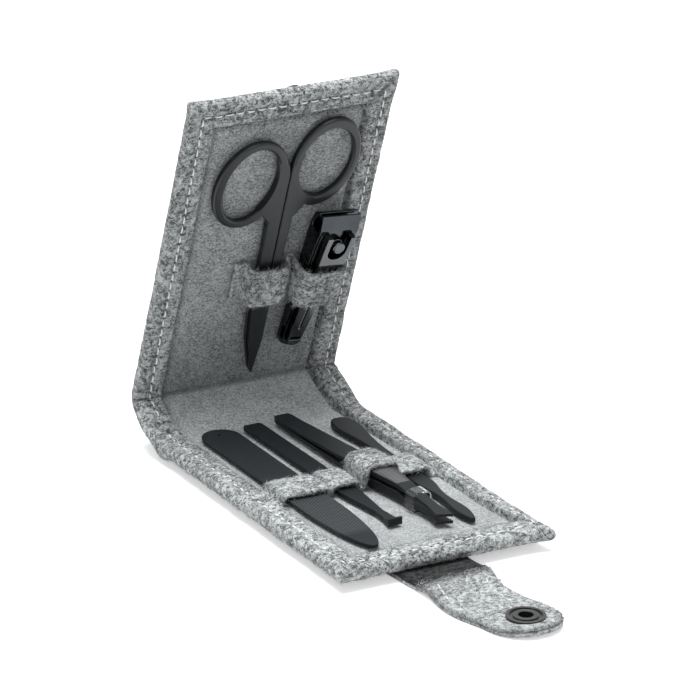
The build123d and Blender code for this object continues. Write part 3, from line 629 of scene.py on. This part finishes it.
def clear_plastic():
    """Clear soft plastic of the tweezers' sleeve, with faint scuffs."""
    shader = Shader("clear_sleeve", IOR=1.08, Transmission_Weight=1.0, Coat_Weight=0.5,
                    Coat_IOR=1.5, Coat_Roughness=0.02, Base_Color=(0.97, 0.98, 0.985, 1))
    scuff = shader.noise(shader.output("Object", "TexCoord"), 700.0, 3.0)
    return shader.finish(Roughness=shader.scaled(scuff, 0.02, 0.07))


# From the lid's crease on, the felt's colour is painted a tenth darker: painted shade of the lid, which
# faces away from the light.
felt = wool_felt("heather_felt", (0.29, 0.306, 0.31), 0.72,
                     painted_shades=((spine_length - 8, 1.0), (spine_length + 12, 0.9)))
band_felt = wool_felt("band_felt", (0.25, 0.265, 0.269), 0.74, pile=0.9)
strap_felt = wool_felt("strap_felt", (0.315, 0.332, 0.336), 0.6)
# Upper strap layer: its colour is painted down to a tenth up to 6 mm from the fold and back to full by 12
# mm, a painted shadow of the base's front edge. With no shine and little sheen, the painted shadow stays
# dark.
matted_felt = wool_felt("matted_felt", (0.33, 0.348, 0.352), 0.5, shine=0.0, sheen=0.02,
                            painted_shades=((6.0, 0.1), (12.0, 1.0)))
# The second, much darker tint is the lid's: painted shade of the lid, which faces away from the light.
lining = velour("velour", (0.41, 0.43, 0.434), (0.266, 0.284, 0.288))
thread = sewing_thread()
light_hair = hair("light_hair", (0.62, 0.63, 0.63))
hole_shade = hair("needle_hole_shade", (0.035, 0.037, 0.038))
dark_hair = hair("dark_hair", (0.16, 0.165, 0.17))
satin_steel = steel("satin_black_steel", BLACK_STEEL, 0.33, 0.4, 0.25, Specular_IOR_Level=0.35)
matte_steel = steel("matte_black_steel", BLACK_STEEL, 0.52, 0.4, 0.25, Specular_IOR_Level=0.2)
gloss_steel = steel("gloss_black_steel", (0.105, 0.113, 0.119), 0.16, 0.3, 0.06, Metallic=1.0)
dark_gloss_steel = steel("dark_gloss_steel", (0.052, 0.057, 0.062), 0.13, 0.45, 0.06, Metallic=1.0)
# The grip ridges are painted far lighter than the tweezers' black steel: a painted highlight where they
# catch the light.
ridge_highlight_steel = steel("ridge_highlight_steel", (0.16, 0.168, 0.172), 0.3, 0.4, 0.06, Specular_IOR_Level=0.5)
snap_steel = steel("snap_black_steel", (0.012, 0.013, 0.014), 0.3, 0.5, 0.1, Specular_IOR_Level=0.5)


# ---- The felt cover: base with half the spine, and lid with the other half

def to_base(t):
    """s at a distance from the base's free end."""
    return base_front + t


def to_lid(t):
    """s at a distance from the lid's free end."""
    return lid_top - t


def edge_distance(x, s):
    """How far a flat place on the case is from the nearest free edge."""
    return np.minimum(half_width - np.abs(x), np.minimum(s - base_front, lid_top - s))


def roll_edge(edge, size):
    """Share of its full height that a rounded edge has at a distance from it."""
    return np.sqrt(np.clip(1 - (1 - np.clip(edge / size, 0, 1)) ** 2, 0, 1))


def crease_folds(x, s, edge):
    """How far the turned-in felt dips and gathers on the inside of the two creases."""
    wander = 0.35 * lumps(spots(x, 0 * x), 3.0, 31)
    base_gap = 0.55 * bell(s - wander, 0.8)
    lid_gap = 1.25 * bell(s - spine_length - wander, 0.7)
    swell = 0.35 * bell(np.abs(s - spine_length) - 2.6, 1.2)
    near = bell(s, 6) + bell(s - spine_length, 5)
    gathers = 0.5 * near * lumps(spots(x * 0.8, s), 2.6, 32)
    return (swell - base_gap - lid_gap + gathers) * (0.3 + 0.7 * smooth(edge, 0.5, 4))


def stitch_groove(x, s, edge):
    """Channel that the seam pulls into the felt, deepest at the needle holes."""
    count = np.where(np.abs(x) > half_width - BORDER, s, x) / STITCH_PITCH
    holes = 0.9 + 0.35 * np.cos(2 * math.pi * (count - 0.5))
    return GROOVE_DEPTH * holes * bell(edge - STITCH_INSET, GROOVE_WIDTH)


def mitre(x, s):
    """Fold line across each corner of the border, where the turned-in felt meets itself."""
    end = np.minimum(s - base_front, lid_top - s)
    side = half_width - np.abs(x)
    line = bell(end - side + 0.3 * lumps(spots(x, s), 3.0, 14), 0.7)
    deep = np.where(x > 0, 1.8, 0.5)
    return deep * line * smooth(side + end, 1.0, 4.0) * smooth(-side - end, -17, -13)


def under_tools(x, s):
    """1 on the parts of the border that tools slide or swing over, 0 elsewhere."""
    front = smooth(base_front + BORDER + 3 - s, 0, 1.5) * smooth(26 - np.abs(x), 0, 1.5)
    return np.maximum(front, smooth(s, spine_length + 15, spine_length + 20))


def settle(height, x, s):
    """Presses the border down under the tools' paths."""
    low = height - 0.25
    knee = 0.3
    over = np.clip(low - (TOOL_CLEAR - knee), 0, None)
    pressed = np.where(over > 0, TOOL_CLEAR - knee * np.exp(-over / knee), low)
    return height + (pressed - height) * under_tools(x, s)


def inner_height(x, s, edge):
    """Inner face of the cover: the turned-in border, then the hidden part under the lining."""
    points = spots(x, s, 5.0)
    wander = 0.35 * lumps(points * [1, 1, 0], 4.0, 12)
    border = PANEL_FACE * roll_edge(edge, EDGE_ROUND) - stitch_groove(x, s, edge)
    border += 0.22 * np.sin(math.pi * np.clip((edge - STITCH_INSET) / 4, 0, 1))
    border += felt_lumps(points, 3) * smooth(edge, 0, 1.2) + crease_folds(x, s, edge)
    border -= mitre(x, s)
    border -= 0.25 * bell(edge - BORDER + 0.3, 0.5)
    border = np.where(edge < 0.02, 0, settle(border, x, s))
    under = smooth(edge, BORDER - 0.6 + wander, BORDER + 0.05 + wander)
    return border * (1 - under) + HIDDEN_FACE * under


def outer_height(x, s, edge):
    """Outer face of the cover, with the roll of felt under the base's crease."""
    face = PANEL_FACE * roll_edge(edge, EDGE_ROUND) - 0.6 * stitch_groove(x, s, edge)
    face += felt_lumps(spots(x, s, -5.0), 8) * smooth(edge, 0, 1.2)
    rolled = ROLL_DEPTH * bell(s + 0.5, ROLL_WIDTH) * roll_edge(edge, 3 * EDGE_ROUND)
    return -np.where(edge < 0.02, 0, face + rolled)


def ragged(grid, size, seed):
    """Moves a grid's points a little sideways, so that its edges aren't ruled lines."""
    x, t, edge, columns = grid
    points = spots(x, t)
    push = size * (lumps(points, 5.0, seed) + 0.5 * lumps(points, 1.4, seed + 1))
    return x + np.sign(x) * push * np.exp(-edge / 3.0), t, edge, columns


def declare(piece, length):
    """Returns the piece unchanged; its flat size in millimetres, length, is not used."""
    return piece


def spine_swell(x, s):
    """x after the felt has bulged sideways at the spine, most of all on the left."""
    bulge = bell(s - spine_middle + 1, 8)
    return x * (1 + np.where(x < 0, 0.036, 0.014) * bulge * np.abs(x) / half_width)


def narrow_border(x, s):
    """x on the base, whose right border is turned in less, least of all at the front corner."""
    side = half_width - x
    share = 0.16 + 0.17 * smooth(-s, 5, 50) + 0.15 * smooth(-s, 78, 100)
    share = share * smooth(-s, -9, 4)
    hat = np.minimum(side / BORDER, (BORDER + 5 - side) / 5).clip(0)
    return x + share * BORDER * hat


def shift_cover(x, s):
    return narrow_border(spine_swell(x, s), s)


def cover(name, ears, along, seed):
    """One half of the cover, whose left and right corner are pulled out by the two ears."""
    grid = slab_grid(half_width, half_length, edge_steps(EDGE_ROUND, (BORDER,)), CORNER_ROUND, ears)
    piece = slab(name, ragged(grid, 0.2, seed), along, inner_height, outer_height,
                 case_place, felt, shift_cover)
    return declare(piece, half_length + BORDER)


base_cover = bend_base(cover("base_cover", (0.4, 2.4), to_base, 51))
lid_cover = bend_lid(cover("lid_cover", (0.9, 1.1), to_lid, 61))
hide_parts("base_outer_felt", "spine_outer_felt", "base_board", "spine_board")
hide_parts("lid_outer_felt", "lid_board")


# ---- Linings, tucked under the border all round

def lining_height(x, s):
    """Height of the lining, which dips at its edges and at the creases."""
    points = spots(x, s)
    wander = 0.5 * lumps(points * [1, 0, 0], 9.0, 71)
    height = LINING_FACE + 0.09 * lumps(points, 11.0, 72) + 0.035 * lumps(points, 1.1, 73)
    inset = np.clip(edge_distance(x, s) - BORDER, 0, None)
    height = height - np.where(x > 0, 2.3, 1.5) * bell(inset, 0.9)
    height = height - 0.35 * bell(s - wander, 1.6)
    height = height - 1.1 * bell(s - spine_length - wander, 0.7)
    gather = bell(s - spine_length, 5) * smooth(np.abs(x), 15, 24)
    return height + 0.22 * gather * lumps(points * [1, 2.5, 0], 2.4, 74)


def lining_sheet(name, along, material):
    half = half_width - BORDER + LINING_TUCK
    x = np.linspace(-half, half, int(2 * half / GRID))
    t = np.linspace(BORDER - LINING_TUCK, half_length, int((half_length - BORDER) / GRID))
    rows, columns = len(t), len(x)
    t, x = (values.ravel() for values in np.meshgrid(t, x, indexing="ij"))
    s = along(t)
    flat = spots(narrow_border(x, s), s, lining_height(x, s))
    piece = mesh_object(name, case_place(flat), flat, grid_faces(rows, columns), material, weld=False)
    return declare(piece, half_length - BORDER + LINING_TUCK)


base_lining = bend_base(lining_sheet("base_lining_cloth", to_base, lining))
lid_lining = bend_lid(lining_sheet("lid_lining_cloth", to_lid, lining))
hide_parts("base_lining", "spine_lining")
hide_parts("lid_lining")


# ---- Seam all round the case

def stitch(centre, heading, height, sink):
    """Path of one stitch, which dives into the felt at both ends."""
    t = np.linspace(-0.5, 0.5, 7)
    path = centre + np.outer(t * STITCH_LENGTH, heading)
    rise = 0.13 - 0.55 * np.abs(2 * t) ** 4
    return np.column_stack([path, height + np.sign(height) * (rise - sink)])


def seam_stitch(x, s, heading, turn, height, sink):
    """A stitch turned a little askew, and kept low where tools slide over it."""
    askew = np.array([heading[0] + turn * heading[1], heading[1] - turn * heading[0]])
    path = stitch(np.array([x, s]), askew, height, sink)
    if under_tools(x, s) > 0.1:
        path[:, 2] = np.clip(path[:, 2], -PANEL_FACE - 0.25, TOOL_CLEAR - THREAD_RADIUS)
    path[:, 0] = narrow_border(path[:, 0], path[:, 1])
    return path


def needle_hole(x, s, heading, height):
    """Short path half way to the next stitch."""
    gap = np.array([x, s]) + np.array(heading) * STITCH_PITCH / 2
    gap[0] = narrow_border(gap[0], gap[1])
    reach = np.outer(np.linspace(-0.3, 0.3, 4), heading)
    return np.column_stack([gap + reach, np.full(4, height)])


def seam(name, along, free_end, depth, seed):
    """Stitches and needle holes along both sides and across the free end, on both faces."""
    random = np.random.default_rng(seed)
    inset = half_width - STITCH_INSET
    direction = math.copysign(1, along(1) - along(0))
    places = []
    for t in np.arange(STITCH_INSET + 1.6, half_length - 1, STITCH_PITCH):
        places += [((x, along(t)), (0, direction)) for x in (-inset, inset)]
    for x in np.arange(-inset + 1.6, inset - 1, STITCH_PITCH):
        places.append(((x, free_end), (1, 0)))
    paths, holes = [], []
    for ((x, s), heading), face in itertools.product(places, (inner_height, outer_height)):
        height = face(np.array([x]), np.array([s]), np.array([STITCH_INSET]))[0]
        turn = random.normal(0, 0.035)
        sink = depth + random.uniform(-0.1, 0.1)
        paths.append(seam_stitch(x, s, heading, turn, height, sink))
        low = height - np.sign(height) * (0.2 + random.uniform(-0.08, 0.05))
        holes.append(needle_hole(x, s, heading, low))
    return (tubes(name, paths, THREAD_RADIUS, case_place, thread),
            tubes(name + "_holes", holes, HOLE_RADIUS, case_place, hole_shade))


for piece in seam("base_seam", to_base, base_front + STITCH_INSET, 0.12, 5):
    bend_base(piece)
for piece in seam("lid_seam", to_lid, lid_top - STITCH_INSET, -0.2, 6):
    bend_lid(piece)


# ---- Felt bands with a loop for each tool

def rounded_path(corners, radii):
    """Points along straight runs whose corners are rounded; the same count for the same corners."""
    points = [corners[0]]
    for before, corner, after, radius in zip(corners, corners[1:], corners[2:], radii):
        to_start, to_end = unit(before - corner), unit(after - corner)
        half_turn = math.acos(np.clip(to_start @ to_end, -1, 1)) / 2
        reach = radius / math.tan(half_turn)
        centre = corner + unit(to_start + to_end) * (radius / math.sin(half_turn))
        first, last = (corner + way * reach - centre for way in (to_start, to_end))
        angle = math.atan2(first[0] * last[1] - first[1] * last[0], first @ last)
        points += [centre + rotated(*first, turn) for turn in np.linspace(0, angle, ARC_POINTS)]
    return np.array(points + [corners[-1]])


def split_runs(path, counts=None):
    """Cuts the long runs of a path into short ones, with given counts to match another path."""
    runs = np.diff(path, axis=0)
    counts = counts or [max(1, int(np.linalg.norm(run) / BAND_STEP)) for run in runs]
    made = [start + run * part for start, run, count in zip(path, runs, counts)
            for part in np.arange(count) / count]
    return np.array(made + [path[-1]]), counts


def band_path(loops, left, right, counts=None):
    """Middle of the felt, in (x, h), over loops given as (left, right, top) of the room inside."""
    half = BAND_FELT / 2
    low = LINING_FACE + half
    corners, radii = [(left, low)], []
    for loop_left, loop_right, top in loops:
        outer_left, outer_right = loop_left - half, loop_right + half
        high = top + half + BAND_HEADROOM
        corners += [(outer_left - BAND_SPLAY, low), (outer_left, high),
                    (outer_right, high), (outer_right + BAND_SPLAY, low)]
        foot_round = min(BAND_FOOT_ROUND, (high - low) * 0.4)
        top_round = min(BAND_TOP_ROUND, (high - low) * 0.55)
        radii += [foot_round, top_round, top_round, foot_round]
    corners.append((right, low))
    return split_runs(rounded_path([np.array(corner) for corner in corners], radii), counts)


def band_rings(near, far, start, width):
    """Closed rings on the felt's middle, from the near to the far edge and back.

    Also gives the share of the width and the height over the middle of each point of a ring.
    """
    turn = np.linspace(0, 2 * math.pi, 41)[:-1]
    across = (1 - np.cos(np.clip(np.arccos(np.cos(turn)) / math.pi, 0, 1) * math.pi)) / 2
    thick = np.sin(turn)
    thick = np.sign(thick) * np.abs(thick) ** 0.35 * BAND_FELT / 2
    rings = []
    for n, f in zip(near, far):
        x, h = (n + (f - n) * across[:, None]).T
        rings.append(spots(x, start + width * across, h))
    return np.array(rings), across, thick


def band(name, near_loops, far_loops, left, right, start, width, sag, material, seed):
    """Band whose loops change evenly from its near to its far edge, and sag along the case."""
    near, counts = band_path(near_loops, left, right)
    far, _ = band_path(far_loops, left, right, counts)
    flat, across, thick = band_rings(near, far, start, width)
    ahead = np.gradient(flat, axis=0)
    raised = smooth(flat[..., 2], LINING_FACE + 1, LINING_FACE + 4)
    slack = 0.3 * lumps(flat.reshape(-1, 3) * [1, 0.2, 0], 4.0, seed + 9).reshape(raised.shape)
    flat[..., 1] += sag(flat[..., 0], across) + slack - 0.9 * raised
    tucked = smooth(flat[..., 0], right - 3.3, right - 0.6)
    if left < -WINDOW_HALF:
        tucked = tucked + 0.65 * smooth(-flat[..., 0], -left - 2.4, -left - 0.2)
    flat[..., 2] -= 1.5 * tucked
    normal = unit(np.stack([-ahead[..., 2], 0 * ahead[..., 0], ahead[..., 0]], axis=-1))
    rings, sides = flat.shape[:2]
    rough = felt_lumps(flat.reshape(-1, 3), seed).reshape(rings, sides) * 0.55
    rough = rough + 0.12 * np.sin(math.pi * across)[None, :]
    flat = flat + normal * (thick + np.where(thick > 0, rough, 0))[..., None]
    flat = flat.reshape(-1, 3)
    faces = tube_faces(rings, sides, 0)
    faces += [tuple(range(sides)), tuple(range(len(flat) - sides, len(flat)))]
    piece = mesh_object(name, case_place(flat), flat, faces, material)
    length = np.linalg.norm(np.diff(near, axis=0), axis=1).sum()
    return declare(piece, length)


def tool_loop(x, rear, lean_degrees, half, top):
    """A loop as it is s millimetres in front of the base's crease."""
    lean = math.tan(math.radians(lean_degrees))
    return lambda s: (x + (s - rear) * lean - half, x + (s - rear) * lean + half, top)


base_loops = (
    tool_loop(-16.8, 3.0, 0.0, 6.05, 3.7),       # file
    tool_loop(-5.2, 4.5, 0.6, 3.25, 4.05),       # ear pick
    tool_loop(4.6, 4.0, 1.9, 4.0, 7.9),          # tweezers
    tool_loop(18.6, 11.5, -2.2, 4.05, 4.25),     # cuticle pusher
)
base_band = band("base_band", [loop(BASE_BAND_END) for loop in base_loops],
                 [loop(BASE_BAND_START) for loop in base_loops], -WINDOW_HALF - 3.4,
                 WINDOW_HALF + 3.2, -BASE_BAND_END, BASE_BAND_END - BASE_BAND_START,
                 lambda x, across: 0.5, felt, 81)
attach(base_band, "base")
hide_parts("base_tool_band")

scissors_loop = (-4.4, 6.2, 5.6)
clipper_near = (9.8, 20.3, 9.6)
clipper_far = (10.2, 21.7, 10.87)
lid_band = band("lid_band", [scissors_loop, clipper_near], [scissors_loop, clipper_far],
                -9.0, WINDOW_HALF + 0.8, spine_length + LID_BAND_START, LID_BAND_END - LID_BAND_START,
                lambda x, across: 4.0 * (1 - across) * smooth(x, 17, 24), band_felt, 91)
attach(lid_band, "lid")
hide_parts("lid_tool_band")


# ---- Strap: two layers of felt sewn together, each in two pieces that meet half way

tip_length = strap_length - strap_middle
near_length = strap_middle + STRAP_ROOT
strap_steps = edge_steps(STRAP_EDGE_ROUND)
tip_grid = slab_grid(STRAP_WIDTH / 2, tip_length, strap_steps, STRAP_TIP_ROUND)
root_grid = slab_grid(STRAP_WIDTH / 2, near_length, strap_steps, STRAP_ROOT_ROUND)


def strap_layer(name, low, setback, material, seed):
    """One layer, from the height low upwards; its tip stands back by setback."""
    half = STRAP_LAYER / 2
    middle = low + half

    def above(x, s, edge):
        face = half * roll_edge(edge, STRAP_EDGE_ROUND)
        return middle + face + 0.3 * felt_lumps(spots(x, s), seed) * smooth(edge, 0, 1)

    def below(x, s, edge):
        return middle - half * roll_edge(edge, STRAP_EDGE_ROUND)

    def from_tip(t):
        return strap_length - setback - t * (tip_length - setback) / tip_length

    near = slab(name + "_near", ragged(root_grid, 0.1, seed), lambda t: t - STRAP_ROOT, above, below,
                strap_place, material)
    far = slab(name + "_far", ragged(tip_grid, 0.1, seed), from_tip, above, below, strap_place,
               material)
    cut_hole(far, snap_centre, SNAP_HOLE)
    for piece, length in ((bend_root(near), near_length), (bend_tip(far), tip_length)):
        declare(piece, length)
    return near, far


lower_near, lower_far = strap_layer("strap_lower", 0.0, 0.0, strap_felt, 101)
upper_near, upper_far = strap_layer("strap_upper", STRAP_LAYER, STRAP_SETBACK, matted_felt, 111)
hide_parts("strap_root_outer")
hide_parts("strap_root_inner")
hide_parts("strap_riser_outer", "strap_tip_outer")
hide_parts("strap_riser_inner", "strap_tip_inner")


def strap_seams(reach):
    """Stitches of the strap's two short seams that lie in the given stretch of s."""
    paths = []
    for start, end in np.array(STRAP_SEAMS):
        heading = unit(end - start)
        for along in np.arange(1.2, np.linalg.norm(end - start), STITCH_PITCH):
            centre = start + heading * along
            if reach[0] <= centre[1] < reach[1]:
                paths.append(stitch(centre, heading, 2 * STRAP_LAYER, 0.12))
    return paths


for name, reach, bind in (("near", (0, strap_middle), bend_root),
                          ("far", (strap_middle, strap_length), bend_tip)):
    bind(tubes("strap_seam_" + name, strap_seams(reach), 0.7 * THREAD_RADIUS, strap_place, thread))


# ---- Loose hairs on the felt

def mesh_values(piece):
    """Places in metres, normals and flat places of a piece's points."""
    mesh = piece.data
    stores = ((mesh.vertices, "co"), (mesh.vertices, "normal"), (mesh.attributes["flat"].data, "vector"))
    for store, key in stores:
        values = np.empty(3 * len(mesh.vertices))
        store.foreach_get(key, values)
        yield values.reshape(-1, 3)


def hair_paths(random, start, up, room, length, lift):
    """Bent paths of hairs that rise from the felt by at most the room they have."""
    count = len(start)
    heading = random.normal(size=(count, 3))
    heading -= up * (heading * up).sum(axis=1, keepdims=True)
    heading = unit(heading)
    bend = np.cross(up, heading) * random.normal(0, 0.5, (count, 1))
    size = length * random.uniform(0.4, 1.3, (count, 1))
    rise = lift * random.uniform(0.1, 1.0, (count, 1)) ** 1.5
    rise = np.minimum(rise, room[:, None])
    path = []
    for part in np.linspace(0, 1, len(HAIR_TAPER)):
        out = rise * math.sin(part * 2.4) - 0.08 * (1 - part)
        path.append(start + heading * size * part + bend * size * part ** 2 + up * out)
    return np.stack(path, axis=1)


def hair_rings(path, up):
    """Three-sided rings of points round each hair."""
    ahead = unit(np.gradient(path, axis=1))
    side = np.cross(ahead, up[:, None])
    side /= np.linalg.norm(side, axis=2, keepdims=True) + 1e-9
    other = np.cross(ahead, side)
    radius = HAIR_RADIUS * np.array(HAIR_TAPER)[None, :, None]
    corners = [path + radius * (math.cos(turn) * side + math.sin(turn) * other) for turn in HAIR_TURNS]
    return np.stack(corners, axis=2).reshape(-1, 3)


def fuzz(piece, name, material, count, length, lift, seed):
    """Fine hairs that grow from random points of a felt piece and bend over it.

    Under the tools' paths they lie flat, and none grow at the snap or on the strap near its fold, where
    the upper layer has a painted shadow.
    """
    random = np.random.default_rng(seed)
    places, normals, flats = mesh_values(piece)
    x, s, h = flats.T
    on_strap = name.startswith("strap")
    free = (h < 0) | (edge_distance(x, s) < BORDER - 1) | (h > 1.2)
    free &= np.linalg.norm(places / MM - snap_centre, axis=1) > SNAP_CLEAR
    if on_strap:
        free &= s > STRAP_PAINTED_SHADOW_END
    root = random.choice(np.flatnonzero(free), count)
    up = normals[root]
    room = np.full(count, np.inf)
    if not on_strap:
        low = (h[root] > 0.5) & (under_tools(x[root], s[root]) > 0.1)
        tilt = centre_line(s[root])[2]
        plain = spots(0 * tilt, -np.sin(tilt), np.cos(tilt))
        up = np.where(low[:, None], plain, up)
        room[low] = (TOOL_CLEAR - h[root][low]).clip(0)
    points = hair_rings(hair_paths(random, places[root] / MM, up, room, length, lift), up)
    per_hair = len(points) // count
    one = np.array(tube_faces(len(HAIR_TAPER), len(HAIR_TURNS), 0))
    faces = (one[None] + per_hair * np.arange(count)[:, None, None]).reshape(-1, 4).tolist()
    flat = np.repeat(flats[root], per_hair, axis=0)
    return mesh_object(name, points * MM, flat, faces, material, weld=False)


def hairy(piece, count, bind, seed, lift=1.0):
    """Light and dark hairs on one felt piece, each handed to bind."""
    name = piece.name
    bind(fuzz(piece, name + "_light_hair", light_hair, count, 1.5, 0.45 * lift, seed))
    bind(fuzz(piece, name + "_dark_hair", dark_hair, count * 2 // 3, 1.3, 0.3 * lift, seed + 1))


hairy(base_cover, 9000, bend_base, 201)
hairy(lid_cover, 9000, bend_lid, 211)
hairy(base_band, 2800, lambda piece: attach(piece, "base"), 221)
hairy(lid_band, 2600, lambda piece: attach(piece, "lid"), 231)
hairy(upper_near, 900, bend_root, 241)
hairy(upper_far, 1400, bend_tip, 251, 0.45)
hairy(lower_near, 400, bend_root, 261)
hairy(lower_far, 600, bend_tip, 271)


# ---- Tools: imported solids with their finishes

for finish, nodes in (
        (gloss_steel, ("clipper_lever", "clipper_post", "clipper_rivet")),
        (dark_gloss_steel, ("clipper_lower_leaf", "clipper_upper_leaf")),
        (snap_steel, ("snap_socket", "snap_cap", "snap_stud", "snap_stud_eyelet")),
        (satin_steel, ("scissors_left_half", "scissors_right_half", "scissors_pivot_screw")),
        (matte_steel, ("ear_pick", "tweezers_lower_arm", "tweezers_upper_arm", "cuticle_pusher")),
        (file_steel(), ("nail_file",)),
        (clear_plastic(), ("tweezers_sleeve",))):
    for node in nodes:
        for part in frame["nodes"][node].material_slots:
            part.material = finish


# ---- Grip ridges across the tweezers' upper arm

GRIP_START = 50.4  # along the tweezers, from their welded end
GRIP_END = 65.2
GRIP_TAPER_START = 53.0  # the plate gets narrower from here on
GRIP_HALF = (3.5, 2.15)  # half the plate's width before the taper and at its end
GRIP_TOP = 4.6
RIDGE_PITCH = 0.8
RIDGE_RADIUS = 0.22
TWEEZERS_TURN = math.radians(180 + 1.9)
TWEEZERS_REAR = (4.6, -4.0, 2.95)


def tweezers_place(points):
    """World places, in metres, of points on the tweezers: across, along from the rear, up."""
    x, y, z = points.T
    corner = np.array([0, base_crease[1], base_crease[2]]) + TWEEZERS_REAR
    return (spots(*rotated(x, y, TWEEZERS_TURN), z) + corner) * MM


ridges = []
for along in np.arange(GRIP_START, GRIP_END, RIDGE_PITCH):
    half = np.interp(along, (GRIP_TAPER_START, GRIP_END), GRIP_HALF)
    ridges.append(spots(np.linspace(-half, half, 5), np.full(5, along), GRIP_TOP))
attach(tubes("tweezers_ridges", ridges, RIDGE_RADIUS, tweezers_place, ridge_highlight_steel), "tweezers")


# ---- Stage, light and camera. Places here are in metres.

FLOOR_HALF = 3.0
AMBIENT = 0.41


def stage_floor():
    """Pale floor that shows white to the camera and keeps the object's shadow."""
    mesh = bpy.data.meshes.new("floor")
    corners = ((-1, -1), (1, -1), (1, 1), (-1, 1))
    mesh.from_pydata([(x * FLOOR_HALF, y * FLOOR_HALF, 0) for x, y in corners], [], [(0, 1, 2, 3)])
    shader = Shader("floor_white", Roughness=0.9, Specular_IOR_Level=0.1,
                    Base_Color=(0.86, 0.86, 0.865, 1), Emission_Color=(1, 1, 1, 1))
    place = shader.output("Position", "NewGeometry")
    distance = shader.output("Value", "VectorMath", {0: place}, operation="LENGTH")
    glow = shader.scaled(distance, 0.47, 0.8, 0.3, 1.0)
    shader.finish(Emission_Strength=shader.math("MULTIPLY", shader.seen(), glow))
    mesh_piece("floor", mesh, shader.material)


def stage_world():
    """Even light from all round, which shows white to the camera."""
    world = bpy.data.worlds.new("studio")
    bpy.context.scene.world = world
    world.use_nodes = True
    nodes = Nodes(world.node_tree)
    ground = world.node_tree.nodes["Background"].inputs
    ground["Color"].default_value = (1, 1, 1, 1)
    nodes.connect(nodes.scaled(nodes.seen(), AMBIENT, 1.0), ground["Strength"])


def area_light(name, place, target, size, power):
    light = bpy.data.lights.new(name, "AREA")
    light.shape = "DISK"
    light.size = size
    light.energy = power
    lamp = add_object(name, light)
    lamp.location = place
    lamp.rotation_euler = (Vector(target) - Vector(place)).to_track_quat("-Z", "Y").to_euler()


AZIMUTH = math.radians(-29.9988)
ELEVATION = math.radians(21.0762)
ROLL = math.radians(1.0)
DISTANCE = 1500.0  # from the camera to what it aims at, in millimetres as the two aims
AIM_RIGHT = 25.617
AIM_UP = 24.154
FOCAL_PIXELS = 5297.06
PICTURE_PIXELS = 700
SENSOR = 36.0


def stage_camera():
    """Camera that looks at the case as the picture does."""
    turn = (Matrix.Rotation(AZIMUTH, 4, "Z") @ Matrix.Rotation(math.pi / 2 - ELEVATION, 4, "X")
            @ Matrix.Rotation(ROLL, 4, "Z"))
    underside = Vector((0, base_crease[1], base_low[2]))
    place = underside + turn @ Vector((AIM_RIGHT, AIM_UP, DISTANCE))
    lens = bpy.data.cameras.new("camera")
    lens.sensor_width = SENSOR
    lens.lens = FOCAL_PIXELS * SENSOR / PICTURE_PIXELS
    lens.clip_end = 10
    camera = add_object("camera", lens)
    camera.matrix_world = Matrix.Translation(place * MM) @ turn
    bpy.context.scene.camera = camera


stage_floor()
stage_world()
area_light("top_light", (-0.05, 0.08, 0.85), (0, -0.01, 0.02), 0.6, 11.2)
area_light("front_light", (-0.5, -0.75, 0.55), (0, 0.02, 0.04), 0.6, 1.4)
stage_camera()
bpy.context.scene.view_settings.view_transform = "Standard"
